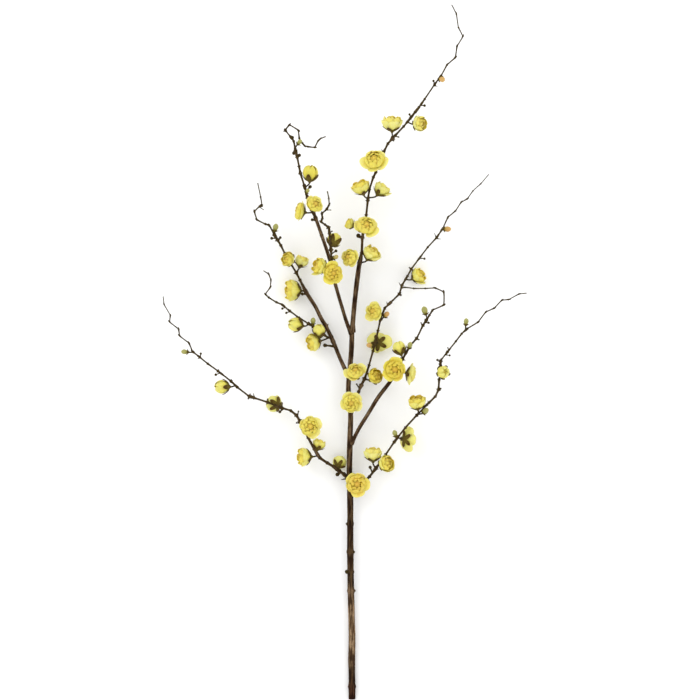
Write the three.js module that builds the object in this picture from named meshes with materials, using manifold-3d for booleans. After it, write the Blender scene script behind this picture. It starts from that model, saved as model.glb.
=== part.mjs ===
// A cut branch of plum in yellow blossom, lying down.
// Millimetres. x runs across the branch, y from the cut end to the topmost tip, and z up from
// the surface that the branch lies on. Places in the lists are measured from the middle of the
// cut end. The group moves them at the end, so that the origin is under the middle of the box.
import * as THREE from "three";
import { mergeVertices } from "three/addons/utils/BufferGeometryUtils.js";
import Module from "manifold-3d";

const wasm = await Module();
wasm.setup();

// Driving dimensions
const GAP = 0.35; // clear space between a calyx and its petals
const PETAL_THICKNESS = 1.0; // at the middle of a petal, which thins to its edge
const PETAL_OVERLAP = 0.7; // how far the two edges of a petal stand in and out of the bowl
const ROOT_OVERLAP = 0.25; // the same at the petal's root
const CORE_RADIUS = 2.4; // of the hub that holds the petals
const CORE_RISE = 1.6; // of the hub's tip above the petals' roots
const TIER_RISE = 1.3; // of the inner petals' roots above the outer ones
const CALYX_DEPTH = 3.4; // from the stalk to the petals
const CALYX_RADIUS = 2.1; // of the cup under the sepals
const CALYX_SLACK = 0.6; // more room under petals and buds, whose sides are flat facets
const STALK_RADIUS = 1.1;
const STALK_BACK = 8; // a stalk leaves the limb where it passes this far behind the petals
const BUD_FURROW = 0.9; // how far the furrows of a bud lie in, over its radius
const WOBBLE = 1.1; // how far the knuckles of a limb stand up and down
const GOLDEN_ANGLE = 2.4; // each bloom is turned on its stalk by this much against the last
const SPUR_LEAN = 0.8; // a spur stands up or down by at most this share of its reach sideways
const STUB_REACH = 3; // of the stub at a bend, past the middle of the twig
const STUB_TWIG = 1.2; // thicker limbs have no stubs
const STUB_BEND = 55; // degrees; gentler bends have no stubs
const SMALLEST_EDGE = 0.08; // shorter edges are left out of a joined solid

// A limb grows from another limb, or stands on its own as the trunk does. Its route holds x, y
// and radius at each knuckle. Its heights are spread evenly over its length, after the height
// of the limb that it grows from.
const LIMBS = {
  trunk: {
    sides: 8,
    heights: [4.4, 24.1],
    route: [
      [0, 0, 4.8], [0, 25, 4.8], [-0.5, 56, 4.9], [0, 84, 4.8], [-0.5, 112, 4.7], [-1.5, 154, 4.6],
      [-2, 179, 4.6], [-2.5, 224, 4.5], [-2.5, 280, 4.3], [-3.5, 320.5, 4.1], [-3, 361, 3.9],
      [-2, 402, 3.6], [-5, 439.5, 3.5], [-3.5, 458, 3.5], [-0.5, 497, 3.5], [0, 523.5, 3.5],
    ],
  },
  top: {
    from: "trunk",
    sides: 6,
    heights: [38, 50, 54, 48, 42],
    route: [
      [0, 515, 3.4], [4, 560, 3.4], [7.5, 590, 3.4], [10, 608, 3.2], [13.5, 626, 2.1],
      [14.5, 647, 2], [20, 679.5, 1.8], [22, 699, 1.7], [24.5, 715, 1.6], [30, 732, 1.6],
      [33.5, 739, 1.6], [38, 752, 1.6], [44, 766, 1.6], [50.5, 779, 1.6], [57.5, 787, 1.6],
      [72.5, 803, 1.5], [81.5, 814, 1.5], [88.5, 823, 1.5], [94, 830, 1.4], [102, 841.5, 1.3],
      [115.5, 861.5, 1.2], [125, 874.5, 1.2], [133, 889, 1.1], [144.5, 899.5, 1.1],
      [147, 915, 1], [155, 929, 1], [149, 941.5, 0.9], [146, 960.5, 0.9], [139.5, 973.5, 0.8],
    ],
  },
  upper_left: {
    from: "trunk",
    sides: 5,
    heights: [46, 64, 78, 88, 92],
    route: [
      [-0.5, 512.5, 2.8], [-4.5, 521, 2.7], [-14, 550, 2.5], [-23.5, 583, 2.5], [-32, 619, 2.5],
      [-42.5, 650.5, 2.4], [-51.5, 676, 2.4], [-62, 702.5, 1.9], [-67, 721, 1.6],
      [-72, 736.5, 1.6], [-74, 747, 1.6], [-76.5, 759, 1.5], [-79, 769, 1.5], [-81.5, 781.5, 1.3],
      [-86.5, 788.5, 1.2], [-93, 797, 1.1], [-87.5, 804, 1.1], [-75, 796.5, 1.1],
      [-73.5, 785.5, 1.1], [-69, 778.5, 1], [-66, 775, 1], [-52, 773, 1],
      [-47.5, 781.5, 0.9], [-44.5, 784.5, 0.9], [-36.5, 788, 0.9],
    ],
  },
  upper_left_twig: {
    from: "upper_left",
    sides: 5,
    heights: [62, 72, 82],
    route: [
      [-28.5, 613, 1.6], [-29.5, 630.5, 1.6], [-30.5, 640, 1.6], [-31.5, 652.5, 1.5],
      [-32.5, 661, 1.3], [-38, 665.5, 1.2], [-43, 669, 1.2], [-41.5, 674, 1.2], [-42, 680.5, 1.2],
      [-35.5, 686.5, 1.1], [-32, 693, 1], [-32.5, 702, 0.9], [-34.5, 712, 0.9],
    ],
  },
  left: {
    from: "trunk",
    sides: 5,
    heights: [16, 15.5, 24, 34, 42],
    route: [
      [-3.5, 451, 2.9], [-8.5, 460.5, 2.9], [-16, 476.5, 2.8], [-25, 498.5, 2.8],
      [-37.5, 524.5, 2.8], [-42, 532, 2.8], [-51, 550, 2.7], [-64.5, 571.5, 2.6],
      [-73, 588.5, 1.7], [-78.5, 599, 1.6], [-88, 614.5, 1.6], [-94.5, 626, 1.5],
      [-100, 637, 1.6], [-104.5, 644.5, 1.6], [-109.5, 652.5, 1.4], [-116, 664.5, 1.2],
      [-121.5, 666.5, 1.2], [-133, 672.5, 1.1], [-136.5, 684, 1.1], [-129.5, 691, 1],
      [-126.5, 692.5, 1], [-128, 704.5, 0.9], [-132, 724, 0.9],
    ],
  },
  left_twig: {
    from: "left",
    sides: 5,
    heights: [26, 38, 50, 62],
    route: [
      [-33.5, 507, 1.6], [-46, 516.5, 1.5], [-55, 523, 1.4], [-62, 527.5, 1.4],
      [-74.5, 535.5, 1.3], [-87, 544.5, 1.2], [-98, 553.5, 1.2], [-106, 557, 1.2],
      [-116.5, 563.5, 1.1], [-121, 568, 1], [-114.5, 577.5, 0.9], [-113.5, 588, 0.9],
      [-116.5, 596, 0.9], [-124, 601, 0.8],
    ],
  },
  low_left: {
    from: "trunk",
    sides: 5,
    heights: [27, 38, 48, 57, 66],
    route: [
      [-3, 306.5, 2.1], [-12, 316.5, 2], [-18, 320, 2], [-26.5, 327, 2], [-35, 332, 2],
      [-45, 339, 2], [-53, 351.5, 2], [-61.5, 367.5, 1.9], [-68.5, 381, 1.8],
      [-73.5, 391.5, 1.8], [-78, 398.5, 1.7], [-86, 405, 1.6], [-98.5, 409, 1.6],
      [-108, 412.5, 1.6], [-118.5, 417, 1.6], [-137, 423, 1.5], [-144, 425.5, 1.5],
      [-160.5, 438, 1.4], [-169, 446, 1.4], [-188, 461, 1.3], [-202, 471, 1.3], [-213, 480, 1.2],
      [-223, 488, 1.1], [-228, 499.5, 1.1], [-241, 510, 1], [-242.5, 519, 1],
      [-255, 529.5, 0.9], [-254, 538, 0.9], [-262.5, 553.5, 0.8], [-264, 565, 0.8],
    ],
  },
  low_right: {
    from: "trunk",
    sides: 5,
    heights: [30, 44, 58, 72, 84],
    route: [
      [-1.5, 290, 2.1], [8.5, 299, 2], [19, 307, 1.9], [25, 313, 1.9], [34, 325, 1.7],
      [47.5, 344, 1.6], [59, 361, 1.6], [75, 381.5, 1.6], [90.5, 398.5, 1.5], [105, 413.5, 1.5],
      [116.5, 425, 1.5], [121, 434.5, 1.6], [122, 449, 1.6], [126, 459, 1.5],
      [123.5, 470.5, 1.4], [124.5, 475.5, 1.3], [134, 488, 1.2], [145.5, 502.5, 1.2],
      [153.5, 513, 1.2], [161.5, 520, 1.2], [176, 529, 1.1], [187, 543, 1], [198.5, 548.5, 1],
      [209.5, 559.5, 0.9], [218.5, 560.5, 0.9], [233, 568, 0.9], [244, 569.5, 0.8],
    ],
  },
  right: {
    from: "trunk",
    sides: 5,
    heights: [34, 50, 62, 72, 80],
    route: [
      [-1.5, 358.5, 2.8], [1.5, 364, 2.7], [11, 382, 2.7], [22.5, 400.5, 2.7], [36.5, 423.5, 2.8],
      [54, 447, 2.7], [61.5, 460.5, 2.2], [71, 477.5, 1.7], [80.5, 495, 1.6], [90.5, 506.5, 1.5],
      [99, 524, 1.4], [104, 532, 1.3], [108.5, 539, 1.2], [112.5, 545.5, 1.2], [128, 553, 1.2],
      [128, 571, 1.1], [116.5, 576.5, 1], [102, 576, 0.9], [86, 576, 0.9], [74, 577.5, 0.9],
      [68, 576, 0.8],
    ],
  },
  right_centre: {
    from: "trunk",
    sides: 5,
    heights: [23, 21, 12.5, 28, 46],
    route: [
      [-2, 395, 2], [0.5, 404.5, 2], [5.5, 421.5, 1.9], [9.5, 432, 2], [13.5, 441.5, 2],
      [18, 450.5, 1.9], [24, 469, 1.6], [29.5, 489, 1.6], [33.5, 504, 1.6], [36.5, 517.5, 1.5],
      [40, 533.5, 1.5], [46, 548.5, 1.5], [55, 557.5, 1.5], [66.5, 569, 1.5], [70, 580.5, 1.4],
      [78, 594, 1.3], [83.5, 604, 1.3], [94, 618, 1.2], [106.5, 634.5, 1.2], [118.5, 647.5, 1.2],
      [127.5, 661, 1.1], [134.5, 676, 1.1], [145, 685, 1], [153, 697, 0.9], [161, 701.5, 0.9],
      [169.5, 713, 0.8], [180.5, 723, 0.8], [191.5, 736, 0.7],
    ],
  },
};

// Spurs stand on each limb: x and y of the tip, and the radius of the pinhead bud on it. A
// thorn has no pinhead.
const SPURS = {
  trunk: [[-7, 179, 3.1], [-7.5, 246.5, 1.4], [3, 207, 1.5], [4, 152.5, 1.4]],
  top: [
    [114, 866.5, 1.8], [120.5, 859, 0], [101.5, 832, 2], [91, 825.5, 1.7], [80.5, 819.5, 1.7],
    [58, 783, 1.4], [41, 771, 0], [9, 650, 3.2],
  ],
  upper_left: [
    [-97, 795, 0], [-61, 771.5, 0], [-83.5, 786.5, 2.7], [-81, 765, 2.8], [-73.5, 762, 2.4],
    [-70, 738.5, 0], [-58.5, 718, 2.5], [-55.5, 672, 2.2],
  ],
  upper_left_twig: [[-22.5, 628.5, 2.2]],
  left: [
    [-112.5, 646.5, 2.1], [-100.5, 647.5, 2], [-69.5, 568.5, 2.2], [-33, 527, 0],
    [-38, 496.5, 2.8],
  ],
  left_twig: [[-97.5, 548, 1.7], [-92, 542, 1.7]],
  low_left: [
    [-211.5, 485, 1.7], [-216.5, 477.5, 0], [-190.5, 455.5, 2], [-181.5, 456.5, 0],
    [-168.5, 450, 0], [-138, 430, 0], [-101, 403.5, 2.2], [-20.5, 315.5, 2.8], [-16, 308, 0],
  ],
  low_right: [
    [25.5, 325.5, 2.4], [106, 419.5, 0], [119.5, 476, 1.8], [127.5, 467.5, 0], [136.5, 482.5, 1.5],
  ],
  right: [[107, 528, 1.8]],
  right_centre: [[48.5, 558, 0], [65.5, 585, 0], [101.5, 618, 1.7], [115, 654.5, 0]],
};

// A bloom is a bowl. Its wall leaves the seat at the angle `low` above flat, and bends evenly
// to the angle `high` at the rim. Five petals lie on it. A second ring of five stands inside an
// opened bloom, on a narrower bowl of its own, where `share` is its length over the outer
// petals' length. `skin` is the thickness outside the bowl, and `sepals` is how far the sepals
// reach along the petals.
const FORMS = {
  open: {
    low: 5, high: 48, skin: PETAL_THICKNESS, sepals: 0.5,
    inner: { share: 0.7, low: 17, high: 95 },
  },
  cup: {
    low: 8, high: 90, skin: PETAL_THICKNESS, sepals: 0.42,
    inner: { share: 0.72, low: 22, high: 118 },
  },
  globe: { low: 6, high: 150, skin: PETAL_THICKNESS, sepals: 0.34, inner: null },
  bud: { low: 8, high: 172, skin: 0, sepals: 0.28, inner: null },
};

const COLOURS = {
  yellow: 0xead94f,
  pale: 0xf0e67a,
  deep: 0xdfc53a,
  orange: 0xd9a441,
  green: 0xa9ad4e,
  tan: 0xb58f55,
  wood: 0x4b3b2d,
};

// Each bloom and bud: name, limb, form, x and y of its middle, width, the way it faces, how
// high its middle stands above its limb, and colour.
const BLOOMS = [
  ["bud_top_1", "top", "bud", 126, 868.5, 9, [0.55, -0.3, 0.8], 6.5, "orange"],
  ["bloom_top_1", "top", "cup", 56, 805.5, 29, [0, 1, 0.2], 1, "pale"],
  ["bloom_top_2", "top", "cup", 93, 806.5, 23, [0.75, 0.05, 0.62], 3, "pale"],
  ["bloom_top_3", "top", "open", 31.5, 754.5, 35, [-0.15, 0.5, 0.85], 13, "yellow"],
  ["bloom_top_4", "top", "cup", 13, 716, 26, [-0.35, 0.9, 0.25], 3, "yellow"],
  ["bloom_top_5", "top", "cup", 40.5, 713.5, 24, [0.6, 0.75, -0.1], -3, "green"],
  ["bloom_top_6", "top", "open", 19.5, 662.5, 34, [0.1, 0.5, 0.86], 13, "yellow"],
  ["bloom_top_7", "top", "cup", -2, 666, 15, [-0.8, 0.4, 0.1], -1, "yellow"],
  ["bloom_top_8", "top", "open", -2.5, 619.5, 26, [-0.5, 0.1, 0.85], 7, "yellow"],
  ["bloom_top_9", "top", "cup", 26, 623.5, 26, [0.5, 0.75, 0.3], 3.5, "pale"],
  ["bud_upper_left_1", "upper_left", "bud", -73, 780.5, 7, [0.6, 0.75, 0.3], 4.5, "green"],
  ["bloom_upper_left_1", "upper_left", "globe", -58, 737, 20, [0.1, 1, 0.2], 2, "yellow"],
  ["bud_upper_left_2", "upper_left", "bud", -62, 712.5, 6, [0.5, 0.8, 0.3], 4, "green"],
  ["bloom_upper_left_2", "upper_left", "open", -53, 692.5, 26, [0.35, 0.3, 0.88], 11, "yellow"],
  ["bloom_upper_left_3", "upper_left", "open", -70.5, 683.5, 31, [-0.93, 0.22, 0.1], -2, "yellow"],
  ["bloom_upper_left_4", "upper_left_twig", "globe", -25, 644, 18, [0.25, 0.65, -0.7], -11, "yellow"],
  ["bud_upper_left_3", "upper_left_twig", "bud", -22.5, 620, 7, [0.7, 0.4, 0.4], 2, "tan"],
  ["bloom_upper_left_5", "upper_left", "cup", -44, 606, 25, [-0.8, 0.4, 0.4], 3, "yellow"],
  ["bloom_upper_left_6", "upper_left", "open", -27.5, 598, 29, [0.25, -0.1, 0.95], 12, "deep"],
  ["bud_left_1", "left", "bud", -107, 662, 9, [0.2, 1, 0.1], 1, "green"],
  ["bloom_left_1", "left", "cup", -88.5, 616.5, 20, [-0.6, 0.2, 0.75], 10.5, "yellow"],
  ["bloom_left_2", "left", "cup", -71, 613, 20, [0.35, 0.9, 0.1], -3, "pale"],
  ["bloom_left_3", "left", "cup", -81.5, 573.5, 31, [-0.95, 0.05, 0.2], -4.2, "yellow"],
  ["bloom_left_twig_1", "left_twig", "globe", -79, 526, 18, [-0.9, 0.2, 0.3], 4, "yellow"],
  ["bud_left_twig_1", "left_twig", "bud", -54.5, 531, 8, [0.1, 1, 0.1], 2, "green"],
  ["bloom_left_twig_2", "left_twig", "globe", -46, 517.5, 15, [0, 0.9, 0.4], 10, "yellow"],
  ["bloom_left_4", "left", "cup", -52.5, 501, 25, [-0.9, -0.2, 0.3], 4, "yellow"],
  ["bud_low_left_1", "low_left", "bud", -234.5, 487.5, 8, [-1, 0.1, 0.1], 0, "green"],
  ["bloom_low_left_1", "low_left", "globe", -182, 438.5, 18, [-1, 0, 0.2], 1, "yellow"],
  ["bloom_low_left_2", "low_left", "cup", -108, 414.5, 24, [-0.5, 0.2, -0.8], -11, "green"],
  ["bloom_low_left_3", "low_left", "open", -60, 383, 31, [0.25, 0, 0.95], 11, "yellow"],
  ["bloom_low_left_4", "low_left", "cup", -46.5, 356.5, 18, [0.3, 0.9, -0.2], -2, "yellow"],
  ["bloom_low_left_5", "low_left", "cup", -65.5, 340.5, 26, [-0.95, 0, 0.2], 2, "yellow"],
  ["bloom_low_left_6", "low_left", "cup", -18, 331, 20, [0.3, 0.6, -0.75], -9, "green"],
  ["bloom_low_right_1", "trunk", "open", 6.5, 302.5, 32, [0.1, -0.05, 1], 13, "orange"],
  ["bloom_low_right_2", "low_right", "cup", 29.5, 342.5, 26, [0, 1, 0.15], 1.6, "pale"],
  ["bloom_low_right_3", "low_right", "cup", 46.5, 330.5, 24, [0.65, 0.2, 0.7], 8, "yellow"],
  ["bud_low_right_1", "low_right", "bud", 60, 373.5, 8, [-0.3, 0.9, 0.1], 1, "green"],
  ["bloom_low_right_4", "low_right", "open", 76.5, 365, 31, [0.75, 0, -0.66], -7, "green"],
  ["bloom_low_right_5", "low_right", "cup", 91, 415, 25, [-0.15, 0.92, 0.35], 6, "yellow"],
  ["bud_low_right_2", "low_right", "bud", 103, 405, 9, [0.6, 0.5, 0.5], 5.5, "green"],
  ["bloom_low_right_6", "low_right", "globe", 127.5, 459, 16, [0.3, 0.1, 0.95], 13.5, "yellow"],
  ["bud_low_right_3", "low_right", "bud", 159.5, 530, 8, [0.1, 1, 0.1], 1, "green"],
  ["bloom_right_1", "right", "open", 59, 462.5, 31, [0.1, 0, 0.99], 12, "deep"],
  ["bloom_right_2", "right", "open", 80.5, 457, 29, [0.93, -0.2, -0.15], 0, "pale"],
  ["bloom_right_3", "right", "globe", 66, 493, 16, [-0.3, 0.95, 0.1], 1, "yellow"],
  ["bud_right_1", "right", "bud", 81, 497, 8, [0.3, 0.9, 0.3], 6, "green"],
  ["bud_right_2", "right", "bud", 101.5, 545.5, 10, [-0.3, 0.95, 0.1], 1, "green"],
  ["bloom_right_centre_1", "trunk", "open", -1, 416, 28, [0, -0.1, 1], 12, "yellow"],
  ["bloom_right_centre_2", "trunk", "open", 5, 458, 29, [-0.1, 0.6, 0.8], 12, "yellow"],
  ["bloom_right_centre_3", "right_centre", "cup", 31.5, 452, 22, [0.5, 0.4, 0.75], 8, "deep"],
  ["bloom_right_centre_4", "right_centre", "open", 38, 500, 31, [0.2, 0, -0.98], -9, "green"],
  ["bud_right_centre_1", "right_centre", "bud", 24.5, 496.5, 8, [-0.9, 0.1, 0.3], 1, "orange"],
  ["bloom_right_centre_5", "right_centre", "open", 31, 544, 26, [-0.35, 0.1, 0.93], 9, "yellow"],
  ["bud_right_centre_2", "right_centre", "bud", 48.5, 540, 8, [0.6, 0.6, 0.4], 3, "orange"],
  ["bloom_right_centre_6", "right_centre", "cup", 91.5, 593, 23, [0.8, 0.4, 0.35], -4.87, "yellow"],
  ["bud_right_centre_3", "right_centre", "bud", 134, 659.5, 9, [1, 0, 0.2], 0.5, "orange"],
];

const UP = new THREE.Vector3(0, 0, 1);
const radians = THREE.MathUtils.degToRad;

// Solids

function toSolid(geometry) {
  geometry.deleteAttribute("normal");
  geometry.deleteAttribute("uv");
  const merged = mergeVertices(geometry, 1e-4);
  const corners = merged.index.array;
  const triangles = [];
  for (let i = 0; i < corners.length; i += 3) {
    const [a, b, c] = corners.slice(i, i + 3);
    if (a !== b && b !== c && c !== a) triangles.push(a, b, c);
  }
  return new wasm.Manifold(new wasm.Mesh({
    numProp: 3,
    vertProperties: merged.attributes.position.array,
    triVerts: Uint32Array.from(triangles),
  }));
}

// A shape from the corners of its triangles, three by three.
function fromCorners(corners) {
  const geometry = new THREE.BufferGeometry().setFromPoints(corners);
  geometry.setIndex(corners.map((_, i) => i));
  return geometry;
}

// Several solids as one, cut off flat at the surface that the branch lies on. The largest body
// of the result is its outside. The others are sealed hollows and scraps.
function joined(geometries) {
  const size = 2000;
  const ground = new THREE.BoxGeometry(size, size, size).translate(0, 0, -size / 2);
  const whole = wasm.Manifold.union(geometries.map(toSolid)).subtract(toSolid(ground));
  const bodies = whole.simplify(SMALLEST_EDGE).decompose();
  return bodies.sort((a, b) => b.volume() - a.volume())[0];
}

function toMesh(name, solid, colour, roughness) {
  const { vertProperties, triVerts } = solid.getMesh();
  const geometry = new THREE.BufferGeometry();
  geometry.setAttribute("position", new THREE.BufferAttribute(vertProperties, 3));
  geometry.setIndex(new THREE.BufferAttribute(triVerts, 1));
  geometry.computeVertexNormals();
  const material = new THREE.MeshStandardMaterial({ color: colour, roughness, metalness: 0 });
  const mesh = new THREE.Mesh(geometry, material);
  mesh.name = name;
  return mesh;
}

// Limbs

// The height at a share of a limb's length, between heights spread evenly over it.
function heightAt(heights, share) {
  const place = share * (heights.length - 1);
  const below = Math.min(Math.floor(place), heights.length - 2);
  return THREE.MathUtils.lerp(heights[below], heights[below + 1], place - below);
}

// The knuckles of a limb in space, each with its radius.
function knuckles(limb, rootHeight) {
  const heights = rootHeight === undefined ? limb.heights : [rootHeight, ...limb.heights];
  const reach = [0];
  for (let k = 1; k < limb.route.length; k++) {
    const [x, y] = limb.route[k];
    reach.push(reach[k - 1] + Math.hypot(x - limb.route[k - 1][0], y - limb.route[k - 1][1]));
  }
  return limb.route.map(([x, y, radius], k) => {
    const lift = WOBBLE * Math.sin(2.4 * k);
    const height = heightAt(heights, reach[k] / reach.at(-1)) + lift;
    return { at: new THREE.Vector3(x, y, height), radius };
  });
}

// The place on a limb nearest to a point, seen from above, with the limb's radius there.
function nearestOn(limb, x, y) {
  let best = { distance: Infinity };
  for (let k = 1; k < limb.length; k++) {
    const [a, b] = [limb[k - 1], limb[k]];
    const [dx, dy] = [b.at.x - a.at.x, b.at.y - a.at.y];
    const along = ((x - a.at.x) * dx + (y - a.at.y) * dy) / (dx * dx + dy * dy);
    const share = THREE.MathUtils.clamp(along, 0, 1);
    const at = a.at.clone().lerp(b.at, share);
    const distance = Math.hypot(x - at.x, y - at.y);
    const radius = THREE.MathUtils.lerp(a.radius, b.radius, share);
    if (distance < best.distance) best = { distance, at, radius };
  }
  return best;
}

// A round rod through points, each with its radius: a cylinder, bent step by step.
function rod(points, sides) {
  const steps = points.length - 1;
  const geometry = new THREE.CylinderGeometry(1, 1, 1, sides, steps);
  const position = geometry.attributes.position;
  const [along, side, up] = [new THREE.Vector3(), new THREE.Vector3(), new THREE.Vector3()];
  const corner = new THREE.Vector3();
  for (let i = 0; i < position.count; i++) {
    corner.fromBufferAttribute(position, i);
    const k = Math.round((corner.y + 0.5) * steps);
    const before = points[Math.max(k - 1, 0)].at;
    const after = points[Math.min(k + 1, steps)].at;
    const { at, radius } = points[k];
    const into = at.clone().sub(before).normalize();
    const outof = after.clone().sub(at).normalize();
    along.copy(into).add(outof).normalize();
    side.crossVectors(along, UP).normalize();
    up.crossVectors(side, along);
    const place = at.clone();
    place.addScaledVector(side, radius * corner.x).addScaledVector(up, radius * corner.z);
    position.setXYZ(i, place.x, place.y, place.z);
  }
  return geometry;
}

// A spur leaves the limb's middle and runs out to a point, past the pinhead bud if it has one.
// Spurs lean up and down by turns.
function spur(limb, [x, y, head]) {
  const root = nearestOn(limb, x, y);
  const lift = SPUR_LEAN * root.distance * Math.sin(x + y);
  const middle = new THREE.Vector3(x, y, root.at.z + lift);
  const outwards = middle.clone().sub(root.at).normalize();
  const neck = 0.6 * root.radius;
  const tip = middle.clone().addScaledVector(outwards, head);
  const points = [{ at: root.at, radius: neck }, { at: tip, radius: 0 }];
  if (head > 0) points.splice(1, 0, { at: middle, radius: head });
  return rod(points, head > 0 ? 4 : 3);
}

// Where a thin twig bends, a stub points on along the way that the twig came, up and down by
// turns.
function stubs(limb) {
  return limb.slice(1, -1).flatMap((here, i) => {
    const came = here.at.clone().sub(limb[i].at).normalize();
    const goes = limb[i + 2].at.clone().sub(here.at).normalize();
    if (here.radius > STUB_TWIG || came.angleTo(goes) < radians(STUB_BEND)) return [];
    const way = came.add(new THREE.Vector3(0, 0, i % 2 === 0 ? 0.5 : -0.5)).normalize();
    const tip = here.at.clone().addScaledVector(way, STUB_REACH);
    return [rod([{ at: here.at, radius: 0.7 * here.radius }, { at: tip, radius: 0 }], 3)];
  });
}

// Blooms

// Radius, height and slope of a bloom's bowl at a share of the way from the seat to the rim.
function bowl(form, length, share) {
  const [low, high] = [radians(form.low), radians(form.high)];
  const slope = low + (high - low) * share;
  const scale = length / (high - low);
  return {
    radius: scale * (Math.sin(slope) - Math.sin(low)),
    height: scale * (Math.cos(low) - Math.cos(slope)),
    slope,
  };
}

// The length of a petal that gives a bloom its width.
function petalLength(form, width) {
  const [low, high] = [radians(form.low), radians(form.high)];
  const widest = Math.min(high, Math.PI / 2);
  return (width / 2) * (high - low) / (Math.sin(widest) - Math.sin(low));
}

function bloomDepth(form, width) {
  return bowl(form, petalLength(form, width), 1).height + form.skin;
}

// A point on the bowl at a share of the way to the rim and an angle round the axis. `inward`
// moves it off the bowl, towards the middle of the bloom.
function onBowl(form, length, share, angle, inward) {
  const { radius, height, slope } = bowl(form, length, share);
  const reach = radius - inward * Math.sin(slope);
  const lift = form.skin + height + inward * Math.cos(slope);
  return new THREE.Vector3(reach * Math.cos(angle), reach * Math.sin(angle), lift);
}

// The free rim of a petal: share of its length, and angle from its middle line in degrees.
const PETAL_RIM = [[0.56, 46], [0.93, 31], [1, 0], [0.93, -31], [0.56, -46]];
const PETAL_ROOT_ANGLE = 14;
const PETAL_MIDDLE = 0.55;

// Five petals round a hub. A petal is a thin lens: its rim, one point in the middle of each
// face, and a root as thick as its middle. Its left edge stands inside the next petal, and its
// right edge outside the one before. `over` and `under` are the rims of the hub above and below
// the roots, ten points each.
function petalTier(form, length, hubRadius, raised, firstTurn) {
  const place = (share, angle, inward) => {
    const point = onBowl(form, length, share, angle, inward);
    return point.setZ(point.z + raised);
  };
  const [over, under, corners] = [[], [], []];
  for (let i = 0; i < 5; i++) {
    const turn = firstTurn + (2 * Math.PI * i) / 5;
    const rim = PETAL_RIM.map(([share, angle]) => (
      place(share, turn + radians(angle), Math.sign(angle) * PETAL_OVERLAP)
    ));
    const roots = [0, -PETAL_THICKNESS].map((inward) => {
      const [left, right] = [1, -1].map((side) => {
        const angle = turn + side * radians(PETAL_ROOT_ANGLE);
        return place(hubRadius / length, angle, inward + side * ROOT_OVERLAP);
      });
      const middle = place(PETAL_MIDDLE, turn, inward);
      const outline = [left, ...rim, right];
      outline.forEach((point, k) => {
        const next = outline[(k + 1) % outline.length];
        corners.push(...(inward === 0 ? [next, point, middle] : [point, next, middle]));
      });
      return { left, right };
    });
    const [above, below] = roots;
    corners.push(above.left, rim[0], below.left, rim.at(-1), above.right, below.right);
    over.push(above.right, above.left);
    under.push(below.right, below.left);
  }
  for (let i = 1; i < 10; i += 2) {
    const next = (i + 1) % 10;
    corners.push(under[i], under[next], over[next], under[i], over[next], over[i]);
  }
  return { over, under, corners };
}

// All petals of an opened bloom. The hub of the outer ring closes at the seat, and the hub of
// the last ring rises to a point among the stamens.
function corolla(form, width) {
  const length = petalLength(form, width);
  const outer = petalTier(form, length, CORE_RADIUS, 0, 0);
  const corners = [...outer.corners];
  let top = outer.over;
  if (form.inner) {
    const innerForm = { ...form, ...form.inner };
    const innerLength = form.inner.share * length;
    const halfTurn = Math.PI / 5;
    const inner = petalTier(innerForm, innerLength, 0.7 * CORE_RADIUS, TIER_RISE, halfTurn);
    const upper = [inner.under.at(-1), ...inner.under.slice(0, -1)];
    corners.push(...inner.corners, ...stitch(top, upper));
    top = inner.over;
  }
  const tip = new THREE.Vector3(0, 0, Math.max(...top.map((point) => point.z)) + CORE_RISE);
  const seat = new THREE.Vector3(0, 0, 0);
  for (let i = 0; i < 10; i++) {
    corners.push(top[i], top[(i + 1) % 10], tip);
    corners.push(outer.under[(i + 1) % 10], outer.under[i], seat);
  }
  return fromCorners(corners);
}

// A closed bud: the whole bowl turned round the axis, with five wrapped petals as lobes.
function closedBud(form, width) {
  const length = petalLength(form, width);
  const shares = [0, 0.25, 0.52, 0.78, 1];
  const profile = shares.map((share) => {
    const { radius, height } = bowl(form, length, share);
    const onAxis = share === 0 || share === 1;
    return new THREE.Vector2(onAxis ? 0 : radius, height);
  });
  const geometry = new THREE.LatheGeometry(profile, 10).rotateX(Math.PI / 2);
  const position = geometry.attributes.position;
  for (let i = 0; i < position.count; i++) {
    const side = Math.floor(i / profile.length);
    const pinch = side % 2 === 0 ? 1 : BUD_FURROW;
    position.setXYZ(i, position.getX(i) * pinch, position.getY(i) * pinch, position.getZ(i));
  }
  return geometry;
}

// Points in a ring round an axis, each at its own radius and height, turned and moved.
function ring(rims, turn, at, roll) {
  return rims.map(([radius, height], i) => {
    const angle = roll + (2 * Math.PI * i) / rims.length;
    const point = new THREE.Vector3(radius * Math.cos(angle), radius * Math.sin(angle), height);
    return point.applyQuaternion(turn).add(at);
  });
}

// Triangles between two rings, the second further along the axis. One ring may have twice as
// many points as the other.
function stitch(first, second) {
  const [here, next] = [(i) => first[i % first.length], (i) => second[i % second.length]];
  return Array.from({ length: Math.min(first.length, second.length) }, (_, i) => {
    if (first.length === second.length) {
      return [here(i), here(i + 1), next(i + 1), here(i), next(i + 1), next(i)];
    }
    if (first.length < second.length) {
      const [a, b, c] = [next(2 * i), next(2 * i + 1), next(2 * i + 2)];
      return [here(i), b, a, here(i), here(i + 1), b, here(i + 1), c, b];
    }
    const [a, b, c] = [here(2 * i), here(2 * i + 1), here(2 * i + 2)];
    return [a, b, next(i), b, next(i + 1), next(i), b, c, next(i + 1)];
  }).flat();
}

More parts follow.
